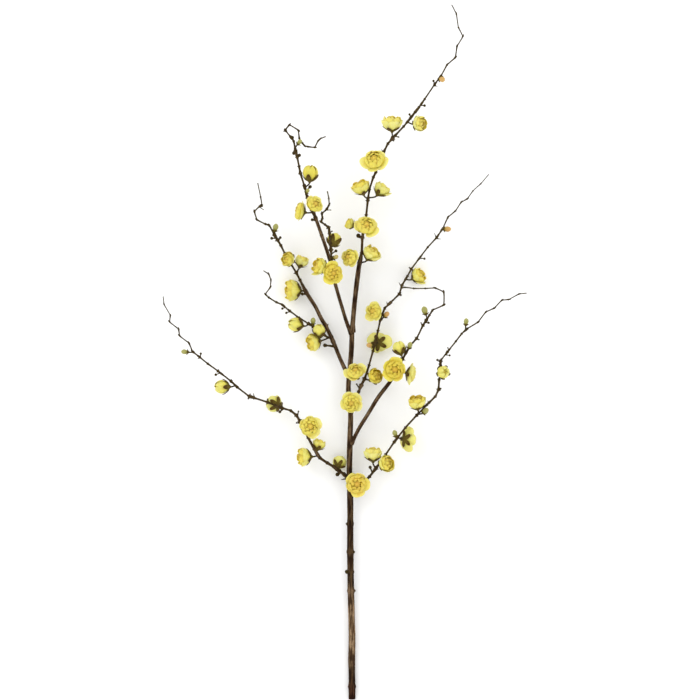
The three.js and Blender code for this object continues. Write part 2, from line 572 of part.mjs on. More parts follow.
// Stalk and calyx in one. A five-sided stalk leaves the limb and widens into a cup under the
// petals. The rim of a bloom's cup is drawn out into five sepals, and a bud's cup stays round.
function stalkAndCalyx(form, width, seat, facing, roll, root) {
  const length = petalLength(form, width);
  const closed = form.skin === 0;
  const below = GAP + CALYX_SLACK;
  const under = (share) => {
    const { x, z } = onBowl(form, length, share, 0, -(form.skin + below));
    return [x, z];
  };
  const five = (radius, height) => Array.from({ length: 5 }, () => [radius, height]);
  const star = (tip, notch) => Array.from({ length: 10 }, (_, i) => (i % 2 === 0 ? tip : notch));

  const depth = closed ? 0.6 * CALYX_DEPTH : CALYX_DEPTH;
  const back = seat.clone().addScaledVector(facing, -depth);
  const along = back.clone().sub(root.at).normalize();
  const halfway = along.clone().add(facing).normalize();
  const upright = new THREE.Quaternion().setFromUnitVectors(UP, facing);
  const leaning = (way) => {
    return new THREE.Quaternion().setFromUnitVectors(facing, way).multiply(upright);
  };
  const rootRadius = Math.min(STALK_RADIUS, 0.6 * root.radius);
  const rings = [
    ring(five(rootRadius, 0), leaning(along), root.at, roll),
    ring(five(STALK_RADIUS, 0), leaning(halfway), back, roll),
  ];
  if (closed) {
    rings.push(ring(five(...under(form.sepals)), upright, seat, roll));
  } else {
    const [tip, notch, inside] = [1, 0.55, 0.4].map((share) => under(share * form.sepals));
    rings.push(ring(five(CALYX_RADIUS, -0.5 * CALYX_DEPTH), upright, seat, roll));
    rings.push(ring(star(tip, notch), upright, seat, roll));
    rings.push(ring(five(...inside), upright, seat, roll));
  }
  const end = seat.clone().addScaledVector(facing, -below);
  const corners = rings.slice(1).flatMap((next, i) => stitch(rings[i], next));
  for (let i = 0; i < 5; i++) {
    corners.push(root.at, rings[0][(i + 1) % 5], rings[0][i]);
    corners.push(end, rings.at(-1)[i], rings.at(-1)[(i + 1) % 5]);
  }
  return fromCorners(corners);
}

// Turns a shape from +z to the way that a bloom faces, and moves it to the bloom's seat.
function seated(geometry, seat, facing, roll) {
  const turn = new THREE.Quaternion().setFromUnitVectors(UP, facing);
  return geometry.rotateZ(roll).applyQuaternion(turn).translate(seat.x, seat.y, seat.z);
}

// The branch

const limbs = {};
for (const [name, limb] of Object.entries(LIMBS)) {
  const root = limb.from && nearestOn(limbs[limb.from], limb.route[0][0], limb.route[0][1]);
  limbs[name] = knuckles(limb, root?.at.z);
}

const wood = [];
for (const [name, points] of Object.entries(limbs)) {
  wood.push(rod(points, LIMBS[name].sides));
  wood.push(...stubs(points));
  for (const place of SPURS[name]) wood.push(spur(points, place));
}

const branch = new THREE.Group();

BLOOMS.forEach(([name, limb, formName, x, y, width, face, rise, colour], i) => {
  const form = FORMS[formName];
  const facing = new THREE.Vector3(...face).normalize();
  const depth = bloomDepth(form, width);
  const base = nearestOn(limbs[limb], x, y).at.z;
  const seat = new THREE.Vector3(x, y, base + rise).addScaledVector(facing, -depth / 2);
  const behind = seat.clone().addScaledVector(facing, -STALK_BACK);
  const root = nearestOn(limbs[limb], behind.x, behind.y);
  const roll = GOLDEN_ANGLE * i;
  const petals = formName === "bud" ? closedBud(form, width) : corolla(form, width);
  const solid = joined([seated(petals, seat, facing, roll)]);
  branch.add(toMesh(name, solid, COLOURS[colour], 0.7));
  const sepalRoll = roll + Math.PI / 5;
  wood.push(stalkAndCalyx(form, width, seat, facing, sepalRoll, root));
});

branch.add(toMesh("wood", joined(wood), COLOURS.wood, 0.85));

const box = new THREE.Box3().setFromObject(branch);
branch.position.set(-(box.min.x + box.max.x) / 2, -(box.min.y + box.max.y) / 2, -box.min.z);

export default branch;
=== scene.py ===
"""A cut branch of plum in yellow blossom, lying down: its looks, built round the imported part."""

import bpy
import numpy as np
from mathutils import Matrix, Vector


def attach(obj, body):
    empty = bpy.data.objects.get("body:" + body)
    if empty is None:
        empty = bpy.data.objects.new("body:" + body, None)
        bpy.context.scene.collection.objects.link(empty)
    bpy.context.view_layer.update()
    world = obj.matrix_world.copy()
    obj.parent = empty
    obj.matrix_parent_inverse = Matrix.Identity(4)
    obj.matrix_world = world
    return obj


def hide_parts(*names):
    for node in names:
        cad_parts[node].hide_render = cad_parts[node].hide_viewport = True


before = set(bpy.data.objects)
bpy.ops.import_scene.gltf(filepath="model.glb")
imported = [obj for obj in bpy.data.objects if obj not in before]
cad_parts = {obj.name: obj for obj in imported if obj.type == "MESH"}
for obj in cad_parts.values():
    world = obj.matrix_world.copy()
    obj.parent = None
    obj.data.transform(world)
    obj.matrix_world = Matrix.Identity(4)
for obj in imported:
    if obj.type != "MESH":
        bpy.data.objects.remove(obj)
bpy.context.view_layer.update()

# Lengths are in millimetres until a piece is made. Places are measured from the middle of the
# cut end, and SHIFT moves them to the frame's origin, under the middle of the branch's box.
MM = 0.001
SHIFT = np.array([10.2964, -486.7789, 0.0])
UP = np.array([0.0, 0.0, 1.0])

GOLDEN_ANGLE = 2.4
FIRST_SEED = 100
LOW, LOWEST = 1.5, 0.03  # what is lower than the first is pressed up, and nears the second

TRUNK_SIDES, LIMB_SIDES = 26, 14
RING_SPACING = 1.2
WOBBLE = 1.1  # how far the knuckles of a limb stand up and down
TRUNK_RADIUS = 4.8
LOWER_TRUNK = 4  # only the lower trunk is thicker
TWIG_RADII = [1.6, 2.6]  # a twig up to the first radius, no twig from the second
KNOT, TWIG_SLENDER = 0.95, 0.16  # swelling at the knots and thinning between, over the radius
KNOT_BEFORE, KNOT_AFTER = 2.2, 0.9  # how far a knot reaches on each side of a bend
KNOT_FADE = 6  # the end of a twig over which knots fade
GROWTH_REACH = 2.4  # how far a limb swells to each side of a spur or stalk
COLLAR, COLLAR_REACH = 0.45, 2.2  # a limb's swelling at its root, over its radius
RIDGES, LUMPS, CRACKS = 0.014, 0.03, 0.012  # of the bark, over the limb's radius
WORN_PLACE, WORN_REACH = 102, 62  # the stretch of the trunk that is worn pale
RED_REACH = 30  # how far the cut end is reddish
UPPER_WOOD = [290, 330]  # the wood grows paler between these two heights
UPPER_WORN = 0.45
SPUR_LEAN = 0.8  # most that a spur stands up or down, over its reach sideways
THORN_SHARES = np.array([0, 0.3, 0.6, 0.85, 1.0])  # where the rings of a thorn stand
STUB_REACH = 3.4  # of the stub at a bend, past the middle of the twig
STUB_TWIG, STUB_BEND = 1.7, 18  # thicker limbs and gentler bends, in degrees, have no stubs
SPUR_AGE = np.array([0.15, 0, 0])  # a thin twig's, not worn and not red

GAP = 0.35  # clear space between a calyx and its petals
CALYX_SLACK = 0.6  # more room under petals and buds
CALYX_DEPTH = 3.4
STALK_RADIUS = 1.1
STALK_BACK = 8  # how far behind the petals a stalk leaves its limb
CORE_RADIUS = 2.2  # petals grow from this far round the axis
TIER_RISE = 1.3  # of each ring of petals above the one round it
PETAL_OVERLAP = 0.75  # how far a petal's edges stand in and out of the bowl
CLAW_SHARES = (1, 0.7, 0.5)  # of the core radius, by ring
OVERLAP_SHARES = (1, 0.85, 0.75)  # of the petal overlap, by ring
WAVES = (0.024, 0.018, 0.012)  # of the petals' rims, over their length, by ring
INNER_STRAY, INNER_SIZE = (-0.015, 0.015), (0.94, 1.02)
LOOSE_STRAY = -0.08  # of a loose petal's tip, over the bloom's width
LOW_BLOOM = 0.75  # over its width; lower than this no petal strays outwards
HEART_WIDTH, HEART_HEIGHT = 0.84, 0.93  # of the furled petals, over the inmost ring's
STAMENS = 24
STAMEN_SPREAD = 18  # degrees
STAMEN_ROOT = 2.4
WRAPS = 5  # petals wrapped round a bud
SEPALS = 5

# The limb's parent, heights, route and spurs. The heights are spread evenly over its length,
# after the height where it leaves its parent. The route goes by x, y and, where it changes, the
# radius. A spur has the x and y of its tip, and the radius of its pinhead bud. A thorn has none.
LIMBS = {
    "trunk": (None, [4.4, 24.1], [
        [0, 0, 4.8], [0, 25], [-0.5, 56, 4.9], [0, 84, 4.8], [-0.5, 112, 4.7], [-1.5, 154, 4.6],
        [-2, 179], [-2.5, 224, 4.5], [-2.5, 280, 4.3], [-3.5, 320.5, 4.1], [-3, 361, 3.9],
        [-2, 402, 3.6], [-5, 439.5, 3.5], [-3.5, 458], [-0.5, 497], [0, 523.5],
    ], [
        [-7, 179, 3.1], [-7.5, 246.5, 1.4], [3, 207, 1.5], [4, 152.5, 1.4], [4.5, 18, 1.4],
    ]),
    "top": ("trunk", [38, 50, 54, 48, 42], [
        [0, 515, 3.4], [4, 560], [7.5, 590], [10, 608, 3.2], [13.5, 626, 2.1], [14.5, 647, 2],
        [20, 679.5, 1.8], [22, 699, 1.7], [24.5, 715, 1.6], [30, 732], [33.5, 739], [38, 752],
        [44, 766], [50.5, 779], [57.5, 787], [72.5, 803, 1.5], [81.5, 814], [88.5, 823],
        [94, 830, 1.4], [102, 841.5, 1.3], [115.5, 861.5, 1.2], [125, 874.5], [133, 889, 1.1],
        [144.5, 899.5], [147, 915, 1], [155, 929], [149, 941.5, 0.9], [146, 960.5],
        [139.5, 973.5, 0.8],
    ], [
        [114, 866.5, 1.8], [120.5, 859, 0], [101.5, 832, 2], [91, 825.5, 1.7], [80.5, 819.5, 1.7],
        [65, 788, 1.3], [58, 783, 1.4], [41, 771, 0], [9, 650, 3.2],
    ]),
    "upper_left": ("trunk", [46, 64, 78, 88, 92], [
        [-0.5, 512.5, 2.8], [-4.5, 521, 2.7], [-14, 550, 2.5], [-23.5, 583], [-32, 619],
        [-42.5, 650.5, 2.4], [-51.5, 676], [-62, 702.5, 1.9], [-67, 721, 1.6], [-72, 736.5],
        [-74, 747], [-76.5, 759, 1.5], [-79, 769], [-81.5, 781.5, 1.3], [-86.5, 788.5, 1.2],
        [-93, 797, 1.1], [-87.5, 804], [-75, 796.5], [-73.5, 785.5], [-69, 778.5, 1], [-66, 775],
        [-52, 773], [-47.5, 781.5, 0.9], [-44.5, 784.5], [-36.5, 788],
    ], [
        [-97, 795, 0], [-61, 771.5, 0], [-83.5, 786.5, 2.7], [-81, 765, 2.8], [-73.5, 762, 2.4],
        [-70, 738.5, 0], [-58.5, 718, 2.5], [-55.5, 672, 2.2],
    ]),
    "upper_left_twig": ("upper_left", [62, 72, 82], [
        [-28.5, 613, 1.6], [-29.5, 630.5], [-30.5, 640], [-31.5, 652.5, 1.5], [-32.5, 661, 1.3],
        [-38, 665.5, 1.2], [-43, 669], [-41.5, 674], [-42, 680.5], [-35.5, 686.5, 1.1],
        [-32, 693, 1], [-32.5, 702, 0.9], [-34.5, 712],
    ], [
        [-35, 660, 1.1], [-28, 656, 1.1], [-29.5, 685.5, 0.7], [-22.5, 628.5, 2.2],
    ]),
    "left": ("trunk", [16, 15.5, 24, 34, 42], [
        [-3.5, 451, 2.9], [-8.5, 460.5], [-16, 476.5, 2.8], [-25, 498.5], [-37.5, 524.5],
        [-42, 532], [-51, 550, 2.7], [-64.5, 571.5, 2.6], [-73, 588.5, 1.7], [-78.5, 599, 1.6],
        [-88, 614.5], [-94.5, 626, 1.5], [-100, 637, 1.6], [-104.5, 644.5], [-109.5, 652.5, 1.4],
        [-116, 664.5, 1.2], [-121.5, 666.5], [-133, 672.5, 1.1], [-136.5, 684], [-129.5, 691, 1],
        [-126.5, 692.5], [-128, 704.5, 0.9], [-132, 724],
    ], [
        [-124, 686.5, 0.7], [-112.5, 646.5, 2.1], [-100.5, 647.5, 2], [-69.5, 568.5, 2.2],
        [-33, 527, 0], [-38, 496.5, 2.8],
    ]),
    "left_twig": ("left", [26, 38, 50, 62], [
        [-33.5, 507, 1.6], [-46, 516.5, 1.5], [-55, 523, 1.4], [-62, 527.5], [-74.5, 535.5, 1.3],
        [-87, 544.5, 1.2], [-98, 553.5], [-106, 557], [-116.5, 563.5, 1.1], [-121, 568, 1],
        [-114.5, 577.5, 0.9], [-113.5, 588], [-116.5, 596], [-124, 601, 0.8],
    ], [
        [-97.5, 548, 1.7], [-92, 542, 1.7],
    ]),
    "low_left": ("trunk", [27, 38, 48, 57, 66], [
        [-3, 306.5, 2.1], [-12, 316.5, 2], [-18, 320], [-26.5, 327], [-35, 332], [-45, 339],
        [-53, 351.5], [-61.5, 367.5, 1.9], [-68.5, 381, 1.8], [-73.5, 391.5], [-78, 398.5, 1.7],
        [-86, 405, 1.6], [-98.5, 409], [-108, 412.5], [-118.5, 417], [-137, 423, 1.5],
        [-144, 425.5], [-160.5, 438, 1.4], [-169, 446], [-188, 461, 1.3], [-202, 471],
        [-213, 480, 1.2], [-223, 488, 1.1], [-228, 499.5], [-241, 510, 1], [-242.5, 519],
        [-255, 529.5, 0.9], [-254, 538], [-262.5, 553.5, 0.8], [-264, 565],
    ], [
        [-211.5, 485, 1.7], [-216.5, 477.5, 0], [-190.5, 455.5, 2], [-181.5, 456.5, 0],
        [-168.5, 450, 0], [-138, 430, 0], [-145, 422, 1.3], [-118, 421, 1.3], [-75, 404, 1.3],
        [-77.5, 388, 1.3], [-101, 403.5, 2.2], [-20.5, 315.5, 2.8], [-16, 308, 0],
    ]),
    "low_right": ("trunk", [30, 44, 58, 72, 84], [
        [-1.5, 290, 2.1], [8.5, 299, 2], [19, 307, 1.9], [25, 313], [34, 325, 1.7],
        [47.5, 344, 1.6], [59, 361], [75, 381.5], [90.5, 398.5, 1.5], [105, 413.5], [116.5, 425],
        [121, 434.5, 1.6], [122, 449], [126, 459, 1.5], [123.5, 470.5, 1.4], [124.5, 475.5, 1.3],
        [134, 488, 1.2], [145.5, 502.5], [153.5, 513], [161.5, 520], [176, 529, 1.1], [187, 543, 1],
        [198.5, 548.5], [209.5, 559.5, 0.9], [218.5, 560.5], [233, 568], [244, 569.5, 0.8],
    ], [
        [25.5, 325.5, 2.4], [106, 419.5, 0], [124, 436, 1.4], [119.5, 476, 1.8], [127.5, 467.5, 0],
        [136.5, 482.5, 1.5], [134, 493, 1.1],
    ]),
    "right": ("trunk", [34, 50, 62, 72, 80], [
        [-1.5, 358.5, 2.8], [1.5, 364, 2.7], [11, 382], [22.5, 400.5], [36.5, 423.5, 2.8],
        [54, 447, 2.7], [61.5, 460.5, 2.2], [71, 477.5, 1.7], [80.5, 495, 1.6], [90.5, 506.5, 1.5],
        [99, 524, 1.4], [104, 532, 1.3], [108.5, 539, 1.2], [112.5, 545.5], [128, 553],
        [128, 571, 1.1], [116.5, 576.5, 1], [102, 576, 0.9], [86, 576], [74, 577.5], [68, 576, 0.8],
    ], [
        [93.5, 504.5, 1.1], [96.5, 528, 1.1], [107, 528, 1.8],
    ]),
    "right_centre": ("trunk", [23, 21, 12.5, 28, 46], [
        [-2, 395, 2], [0.5, 404.5], [5.5, 421.5, 1.9], [9.5, 432, 2], [13.5, 441.5],
        [18, 450.5, 1.9], [24, 469, 1.6], [29.5, 489], [33.5, 504], [36.5, 517.5, 1.5], [40, 533.5],
        [46, 548.5], [55, 557.5], [66.5, 569], [70, 580.5, 1.4], [78, 594, 1.3], [83.5, 604],
        [94, 618, 1.2], [106.5, 634.5], [118.5, 647.5], [127.5, 661, 1.1], [134.5, 676],
        [145, 685, 1], [153, 697, 0.9], [161, 701.5], [169.5, 713, 0.8], [180.5, 723],
        [191.5, 736, 0.7],
    ], [
        [6.5, 442, 1.3], [48.5, 558, 0], [68.5, 566.5, 1.1], [65.5, 585, 0], [101.5, 618, 1.7],
        [80.5, 605.5, 1.1], [115, 654.5, 0], [125.5, 645.5, 0],
    ]),
}

# The bowl of a bloom starts `skin` above the seat, leaves it at `low` degrees above flat and
# bends evenly to `high` at the rim. Each ring of petals has its width over the bloom's, a low
# and a high of its own, what its heights are multiplied by, and how many petals are in it. In the
# outer ring `stray` is how far the tips stand in and out of the bowl, over the bloom's width, and
# `size` is how long the petals are, over the length that gives the bloom its width. `sepals` is
# how far the sepals reach along the bowl, over its length.
FORMS = {
    "open": {"low": 5, "high": 48, "skin": 1.0, "sepals": 0.62,
             "stray": (-0.09, 0.07), "size": (0.84, 1.06),
             "rings": [(1, 5, 48, 0.95, 5), (0.74, 10, 138, 0.42, 6), (0.56, 10, 150, 0.48, 6)]},
    "cup": {"low": 8, "high": 90, "skin": 1.0, "sepals": 0.55,
            "stray": (-0.02, 0.06), "size": (0.92, 1.03),
            "rings": [(1, 6, 92, 0.9, 5), (0.84, 10, 122, 0.8, 5), (0.6, 12, 152, 0.76, 5)]},
    "globe": {"low": 6, "high": 150, "skin": 1.0, "sepals": 0.54,
              "stray": (-0.01, 0.01), "size": (0.96, 1.02),
              "rings": [(1, 6, 158, 0.96, 5), (0.86, 8, 168, 0.92, 5)]},
    "bud": {"low": 8, "high": 172, "skin": 0.0, "sepals": 0.28},
}

# Place, form, x and y of its middle, width, the way it faces, how high its middle stands above
# its limb, colour, and the ways in x and y in which petals stand out from the rest.
BLOOMS = [
    ["top_1", "bud", 126, 868.5, 9, [0.55, -0.3, 0.8], 6.5, "orange"],
    ["top_1", "cup", 56, 805.5, 29, [0, 1, 0.2], 1, "pale"],
    ["top_2", "cup", 93, 806.5, 23, [0.75, 0.05, 0.62], 3, "pale"],
    ["top_3", "open", 31.5, 754.5, 35, [-0.15, 0.5, 0.85], 13, "yellow", [-1, -0.1], [1, -0.3]],
    ["top_4", "cup", 13, 716, 26, [-0.35, 0.9, 0.25], 3, "yellow"],
    ["top_5", "cup", 40.5, 713.5, 24, [0.6, 0.75, -0.1], -3, "green", [1, -0.7]],
    ["top_6", "open", 19.5, 662.5, 34, [0.1, 0.5, 0.86], 13, "yellow", [1, -0.3]],
    ["top_7", "cup", -2, 666, 15, [-0.8, 0.4, 0.1], -1, "yellow"],
    ["top_8", "open", -2.5, 619.5, 26, [-0.5, 0.1, 0.85], 7, "yellow"],
    ["top_9", "cup", 26, 623.5, 26, [0.5, 0.75, 0.3], 3.5, "pale", [1, -0.1]],
    ["upper_left_1", "bud", -73, 780.5, 7, [0.6, 0.75, 0.3], 4.5, "green"],
    ["upper_left_1", "globe", -58, 737, 20, [0.1, 1, 0.2], 2, "deep"],
    ["upper_left_2", "bud", -62, 712.5, 6, [0.5, 0.8, 0.3], 4, "green"],
    ["upper_left_2", "open", -53, 692.5, 26, [0.35, 0.3, 0.88], 11, "yellow"],
    ["upper_left_3", "open", -70.5, 683.5, 31, [-0.93, 0.22, 0.1], -2, "yellow"],
    ["upper_left_4", "globe", -25, 644, 18, [0.25, 0.65, -0.7], -11, "yellow"],
    ["upper_left_3", "bud", -22.5, 620, 7, [0.7, 0.4, 0.4], 2, "tan"],
    ["upper_left_5", "cup", -44, 606, 25, [-0.8, 0.4, 0.4], 3, "yellow", [-0.7, -0.7]],
    ["upper_left_6", "open", -27.5, 598, 29, [0.25, -0.1, 0.95], 12, "deep", [0.2, 1], [-0.6, -0.8]],
    ["left_1", "bud", -107, 662, 9, [0.2, 1, 0.1], 1, "green"],
    ["left_1", "cup", -88.5, 616.5, 20, [-0.6, 0.2, 0.75], 10.5, "yellow"],
    ["left_2", "cup", -71, 613, 20, [0.35, 0.9, 0.1], -3, "pale"],
    ["left_3", "cup", -81.5, 573.5, 31, [-0.95, 0.05, 0.2], -4.2, "yellow"],
    ["left_twig_1", "globe", -79, 526, 18, [-0.9, 0.2, 0.3], 4, "yellow"],
    ["left_twig_1", "bud", -54.5, 531, 8, [0.1, 1, 0.1], 2, "green"],
    ["left_twig_2", "globe", -46, 517.5, 15, [0, 0.9, 0.4], 10, "yellow"],
    ["left_4", "cup", -52.5, 501, 25, [-0.9, -0.2, 0.3], 4, "yellow"],
    ["low_left_1", "bud", -234.5, 487.5, 8, [-1, 0.1, 0.1], 0, "green"],
    ["low_left_1", "globe", -182, 438.5, 18, [-1, 0, 0.2], 1, "yellow"],
    ["low_left_2", "cup", -108, 414.5, 24, [-0.5, 0.2, -0.8], -11, "green"],
    ["low_left_3", "open", -60, 383, 31, [0.25, 0, 0.95], 11, "yellow", [1, 0.3], [0.6, -1]],
    ["low_left_4", "cup", -46.5, 356.5, 18, [0.3, 0.9, -0.2], -2, "yellow"],
    ["low_left_5", "cup", -65.5, 340.5, 26, [-0.95, 0, 0.2], 2, "yellow"],
    ["low_left_6", "cup", -18, 331, 20, [0.3, 0.6, -0.75], -9, "green"],
    ["low_right_1", "open", 6.5, 302.5, 32, [0.1, -0.05, 1], 13, "orange", [0.9, -0.3], [0.3, -1]],
    ["low_right_2", "cup", 29.5, 342.5, 26, [0, 1, 0.15], 1.6, "pale"],
    ["low_right_3", "cup", 46.5, 330.5, 24, [0.65, 0.2, 0.7], 8, "yellow"],
    ["low_right_1", "bud", 60, 373.5, 8, [-0.3, 0.9, 0.1], 1, "green"],
    ["low_right_4", "open", 76.5, 365, 31, [0.75, 0, -0.66], -7, "green", [0.3, -1]],
    ["low_right_5", "cup", 91, 415, 25, [-0.15, 0.92, 0.35], 6, "yellow"],
    ["low_right_2", "bud", 103, 405, 9, [0.6, 0.5, 0.5], 5.5, "green"],
    ["low_right_6", "globe", 127.5, 459, 16, [0.3, 0.1, 0.95], 13.5, "yellow"],
    ["low_right_3", "bud", 159.5, 530, 8, [0.1, 1, 0.1], 1, "green"],
    ["right_1", "open", 59, 462.5, 31, [0.1, 0, 0.99], 12, "deep", [0.6, 0.9], [-0.3, -1]],
    ["right_2", "open", 80.5, 457, 29, [0.93, -0.2, -0.15], 0, "pale", [0.6, -1]],
    ["right_3", "globe", 66, 493, 16, [-0.3, 0.95, 0.1], 1, "yellow"],
    ["right_1", "bud", 81, 497, 8, [0.3, 0.9, 0.3], 6, "green"],
    ["right_2", "bud", 101.5, 545.5, 10, [-0.3, 0.95, 0.1], 1, "green"],
    ["right_centre_1", "open", -1, 416, 28, [0, -0.1, 1], 12, "yellow", [-0.7, 0.9], [0.8, 0.8]],
    ["right_centre_2", "open", 5, 458, 29, [-0.1, 0.6, 0.8], 12, "yellow", [-1, -0.2], [0.5, 1]],
    ["right_centre_3", "cup", 31.5, 452, 22, [0.5, 0.4, 0.75], 8, "deep"],
    ["right_centre_4", "open", 38, 500, 31, [0.2, 0, -0.98], -9, "green", [-0.9, 0.8], [1, -0.1]],
    ["right_centre_1", "bud", 24.5, 496.5, 8, [-0.9, 0.1, 0.3], 1, "orange"],
    ["right_centre_5", "open", 31, 544, 26, [-0.35, 0.1, 0.93], 9, "yellow", [-0.5, -1]],
    ["right_centre_2", "bud", 48.5, 540, 8, [0.6, 0.6, 0.4], 3, "orange"],
    ["right_centre_6", "cup", 91.5, 593, 23, [0.8, 0.4, 0.35], -4.87, "yellow", [0.8, -1]],
    ["right_centre_3", "bud", 134, 659.5, 9, [1, 0, 0.2], 0.5, "orange"],
]

# A bloom or bud grows on the limb in its name, but for these.
OTHER_LIMBS = {
    "bloom_upper_left_4": "upper_left_twig", "bud_upper_left_3": "upper_left_twig",
    "bloom_low_right_1": "trunk", "bloom_right_centre_1": "trunk", "bloom_right_centre_2": "trunk",
}


# Surfaces

def unit(vectors):
    """The same directions with length one."""
    return vectors / np.linalg.norm(vectors, axis=-1, keepdims=True)


def vectors(x, y, z):
    """Vectors over one grid. Each part is a number or a grid."""
    return np.stack(np.broadcast_arrays(x, y, z), -1)


def polar(radius, angle, height):
    """Points at a radius and an angle round +z, and at a height."""
    return vectors(radius * np.cos(angle), radius * np.sin(angle), height)


def full_turn(count):
    """Angles spread evenly over a full turn."""
    return np.linspace(0, 2 * np.pi, count, endpoint=False)


def cells(a, b, c, d):
    """Two triangles for each four corners that stand at the same place in the four arrays."""
    return np.concatenate([
        np.stack([a, b, c], -1).reshape(-1, 3), np.stack([a, c, d], -1).reshape(-1, 3)
    ])


def outward(shape):
    """The shape with its faces outwards: turned over where its signed volume is below zero."""
    a, b, c = (shape["points"][shape["triangles"][:, k]] for k in range(3))
    if np.einsum("ij,ij->", a, np.cross(b, c)) < 0:
        shape["triangles"] = shape["triangles"][:, ::-1]
    return shape


def skin(rings, **marks):
    """A closed surface over rings of points, with a fan to the middle of each end ring.

    A mark is a vector for each point. It carries what a material reads off the surface.
    """
    count, sides = rings.shape[:2]
    index = np.arange(count * sides).reshape(count, sides)
    right = np.roll(index, -1, axis=1)
    first, last = np.full(sides, count * sides), np.full(sides, count * sides + 1)
    triangles = np.concatenate([
        cells(index[:-1], right[:-1], right[1:], index[1:]),
        np.stack([right[0], index[0], first], -1), np.stack([index[-1], right[-1], last], -1),
    ])

    def flat(grid):
        grid = np.broadcast_to(grid, (count, sides, 3))
        return np.concatenate([grid.reshape(-1, 3), grid[:1].mean(1), grid[-1:].mean(1)])

    marks = {name: flat(grid) for name, grid in marks.items()}
    return outward({"points": flat(rings), "triangles": triangles, "marks": marks})


def lens(over, under, **marks):
    """A closed thin body between two grids of points of one size, walled in along their rims."""
    rows, columns = over.shape[:2]
    beneath = rows * columns
    top = np.arange(beneath).reshape(rows, columns)
    low = top + beneath
    rim = np.concatenate([top[0, :-1], top[:-1, -1], top[-1, :0:-1], top[:0:-1, 0]])
    after = np.roll(rim, -1)
    triangles = np.concatenate([
        cells(top[:-1, :-1], top[:-1, 1:], top[1:, 1:], top[1:, :-1]),
        cells(low[:-1, :-1], low[1:, :-1], low[1:, 1:], low[:-1, 1:]),
        cells(after, rim, rim + beneath, after + beneath),
    ])
    points = np.concatenate([over.reshape(-1, 3), under.reshape(-1, 3)])
    marks = {
        name: np.broadcast_to(grid, (2, rows, columns, 3)).reshape(-1, 3)
        for name, grid in marks.items()
    }
    return outward({"points": points, "triangles": triangles, "marks": marks})


def together(shapes):
    """Several shapes as one."""
    starts = np.cumsum([0] + [len(shape["points"]) for shape in shapes[:-1]])
    return {
        "points": np.concatenate([shape["points"] for shape in shapes]),
        "triangles": np.concatenate([
            shape["triangles"] + start for shape, start in zip(shapes, starts)
        ]),
        "marks": {
            name: np.concatenate([shape["marks"][name] for shape in shapes])
            for name in shapes[0]["marks"]
        },
    }


def tube(middles, radii, sides):
    """Rings square to a line through the middles. A ring's first point lies to its side.

    `radii` holds a number for each ring, or one for each point of each ring.
    """
    along = unit(np.gradient(middles, axis=0))
    mean = np.abs(along.mean(0))
    square = UP if mean[2] < 0.8 * np.linalg.norm(mean) else np.array([1.0, 0.0, 0.0])
    side = unit(np.cross(along, square))
    lift = np.cross(side, along)
    around = full_turn(sides)[None, :, None]
    spokes = np.cos(around) * side[:, None] + np.sin(around) * lift[:, None]
    radii = radii if np.ndim(radii) == 2 else radii[:, None]
    return middles[:, None] + radii[..., None] * spokes


def turned(points, facing, roll, place):
    """Points rolled round +z, turned the shortest way from +z to `facing`, and moved."""
    cos, sin = np.cos(roll), np.sin(roll)
    x = points[..., 0] * cos - points[..., 1] * sin
    y = points[..., 0] * sin + points[..., 1] * cos
    turn = Vector(UP).rotation_difference(Vector(facing)).to_matrix()
    return np.stack([x, y, points[..., 2]], -1) @ np.array(turn).T + place


def seated(shape, facing, roll, seat):
    """A shape made upright at zero, rolled, turned to where it faces, and set on its seat."""
    return {**shape, "points": turned(shape["points"], facing, roll, seat)}


def new_object(name, data):
    """An object in the scene that shows the data."""
    made = bpy.data.objects.new(name, data)
    bpy.context.collection.objects.link(made)
    return made


def piece(name, shape, material, slot, *nodes):
    """A shape as an object that rides on the branch and stands for nodes.

    What is low is pressed up: its height becomes an exponential of itself.
    """
    points = shape["points"] + SHIFT
    z = points[:, 2]
    points[:, 2] = np.where(z < LOW, LOWEST + (LOW - LOWEST) * np.exp((z - LOW) / LOW), z)
    mesh = bpy.data.meshes.new(name)
    mesh.from_pydata(points * MM, [], shape["triangles"])
    for mark, values in shape["marks"].items():
        data = mesh.attributes.new(mark, "FLOAT_VECTOR", "POINT").data
        data.foreach_set("vector", values.astype(np.float32).ravel())
    mesh.materials.append(material)
    mesh.shade_smooth()
    made = new_object(name, mesh)
    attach(made, "root")
    if nodes:
        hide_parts(*nodes)


# Limbs

def knuckles(route, heights):
    """x, y, z and radius of a limb's knuckles.

    z runs straight between heights spread evenly over the length, plus a sine of the knuckle's
    number. A place without a radius has the last one's.
    """
    given = np.array([len(place) == 3 for place in route])
    radii = np.array([place[-1] for place in route])[given][np.cumsum(given) - 1]
    route = np.array([place[:2] for place in route], float)
    steps = np.hypot(*np.diff(route, axis=0).T)
    share = np.concatenate([[0], np.cumsum(steps)]) / steps.sum()
    z = np.interp(share, np.linspace(0, 1, len(heights)), heights)
    z += WOBBLE * np.sin(GOLDEN_ANGLE * np.arange(len(route)))
    return np.column_stack([route, z, radii])


def nearest_on(limb, x, y):
    """The place on a limb nearest to x, y seen from above: x, y, z, radius, and length to it."""
    a, b = limb[:-1], limb[1:]
    run = b[:, :2] - a[:, :2]
    share = np.clip(((np.array([x, y]) - a[:, :2]) * run).sum(1) / (run ** 2).sum(1), 0, 1)
    at = a + (b - a) * share[:, None]
    best = np.argmin(np.hypot(x - at[:, 0], y - at[:, 1]))
    steps = np.linalg.norm((b - a)[:, :3], axis=1)
    return at[best], steps[:best].sum() + steps[best] * share[best]


def place_on(limb, reach):
    """x, y, z and radius at a length along a limb."""
    steps = np.linalg.norm(np.diff(limb[:, :3], axis=0), axis=1)
    lengths = np.concatenate([[0], np.cumsum(steps)])
    return np.array([np.interp(reach, lengths, column) for column in limb.T])


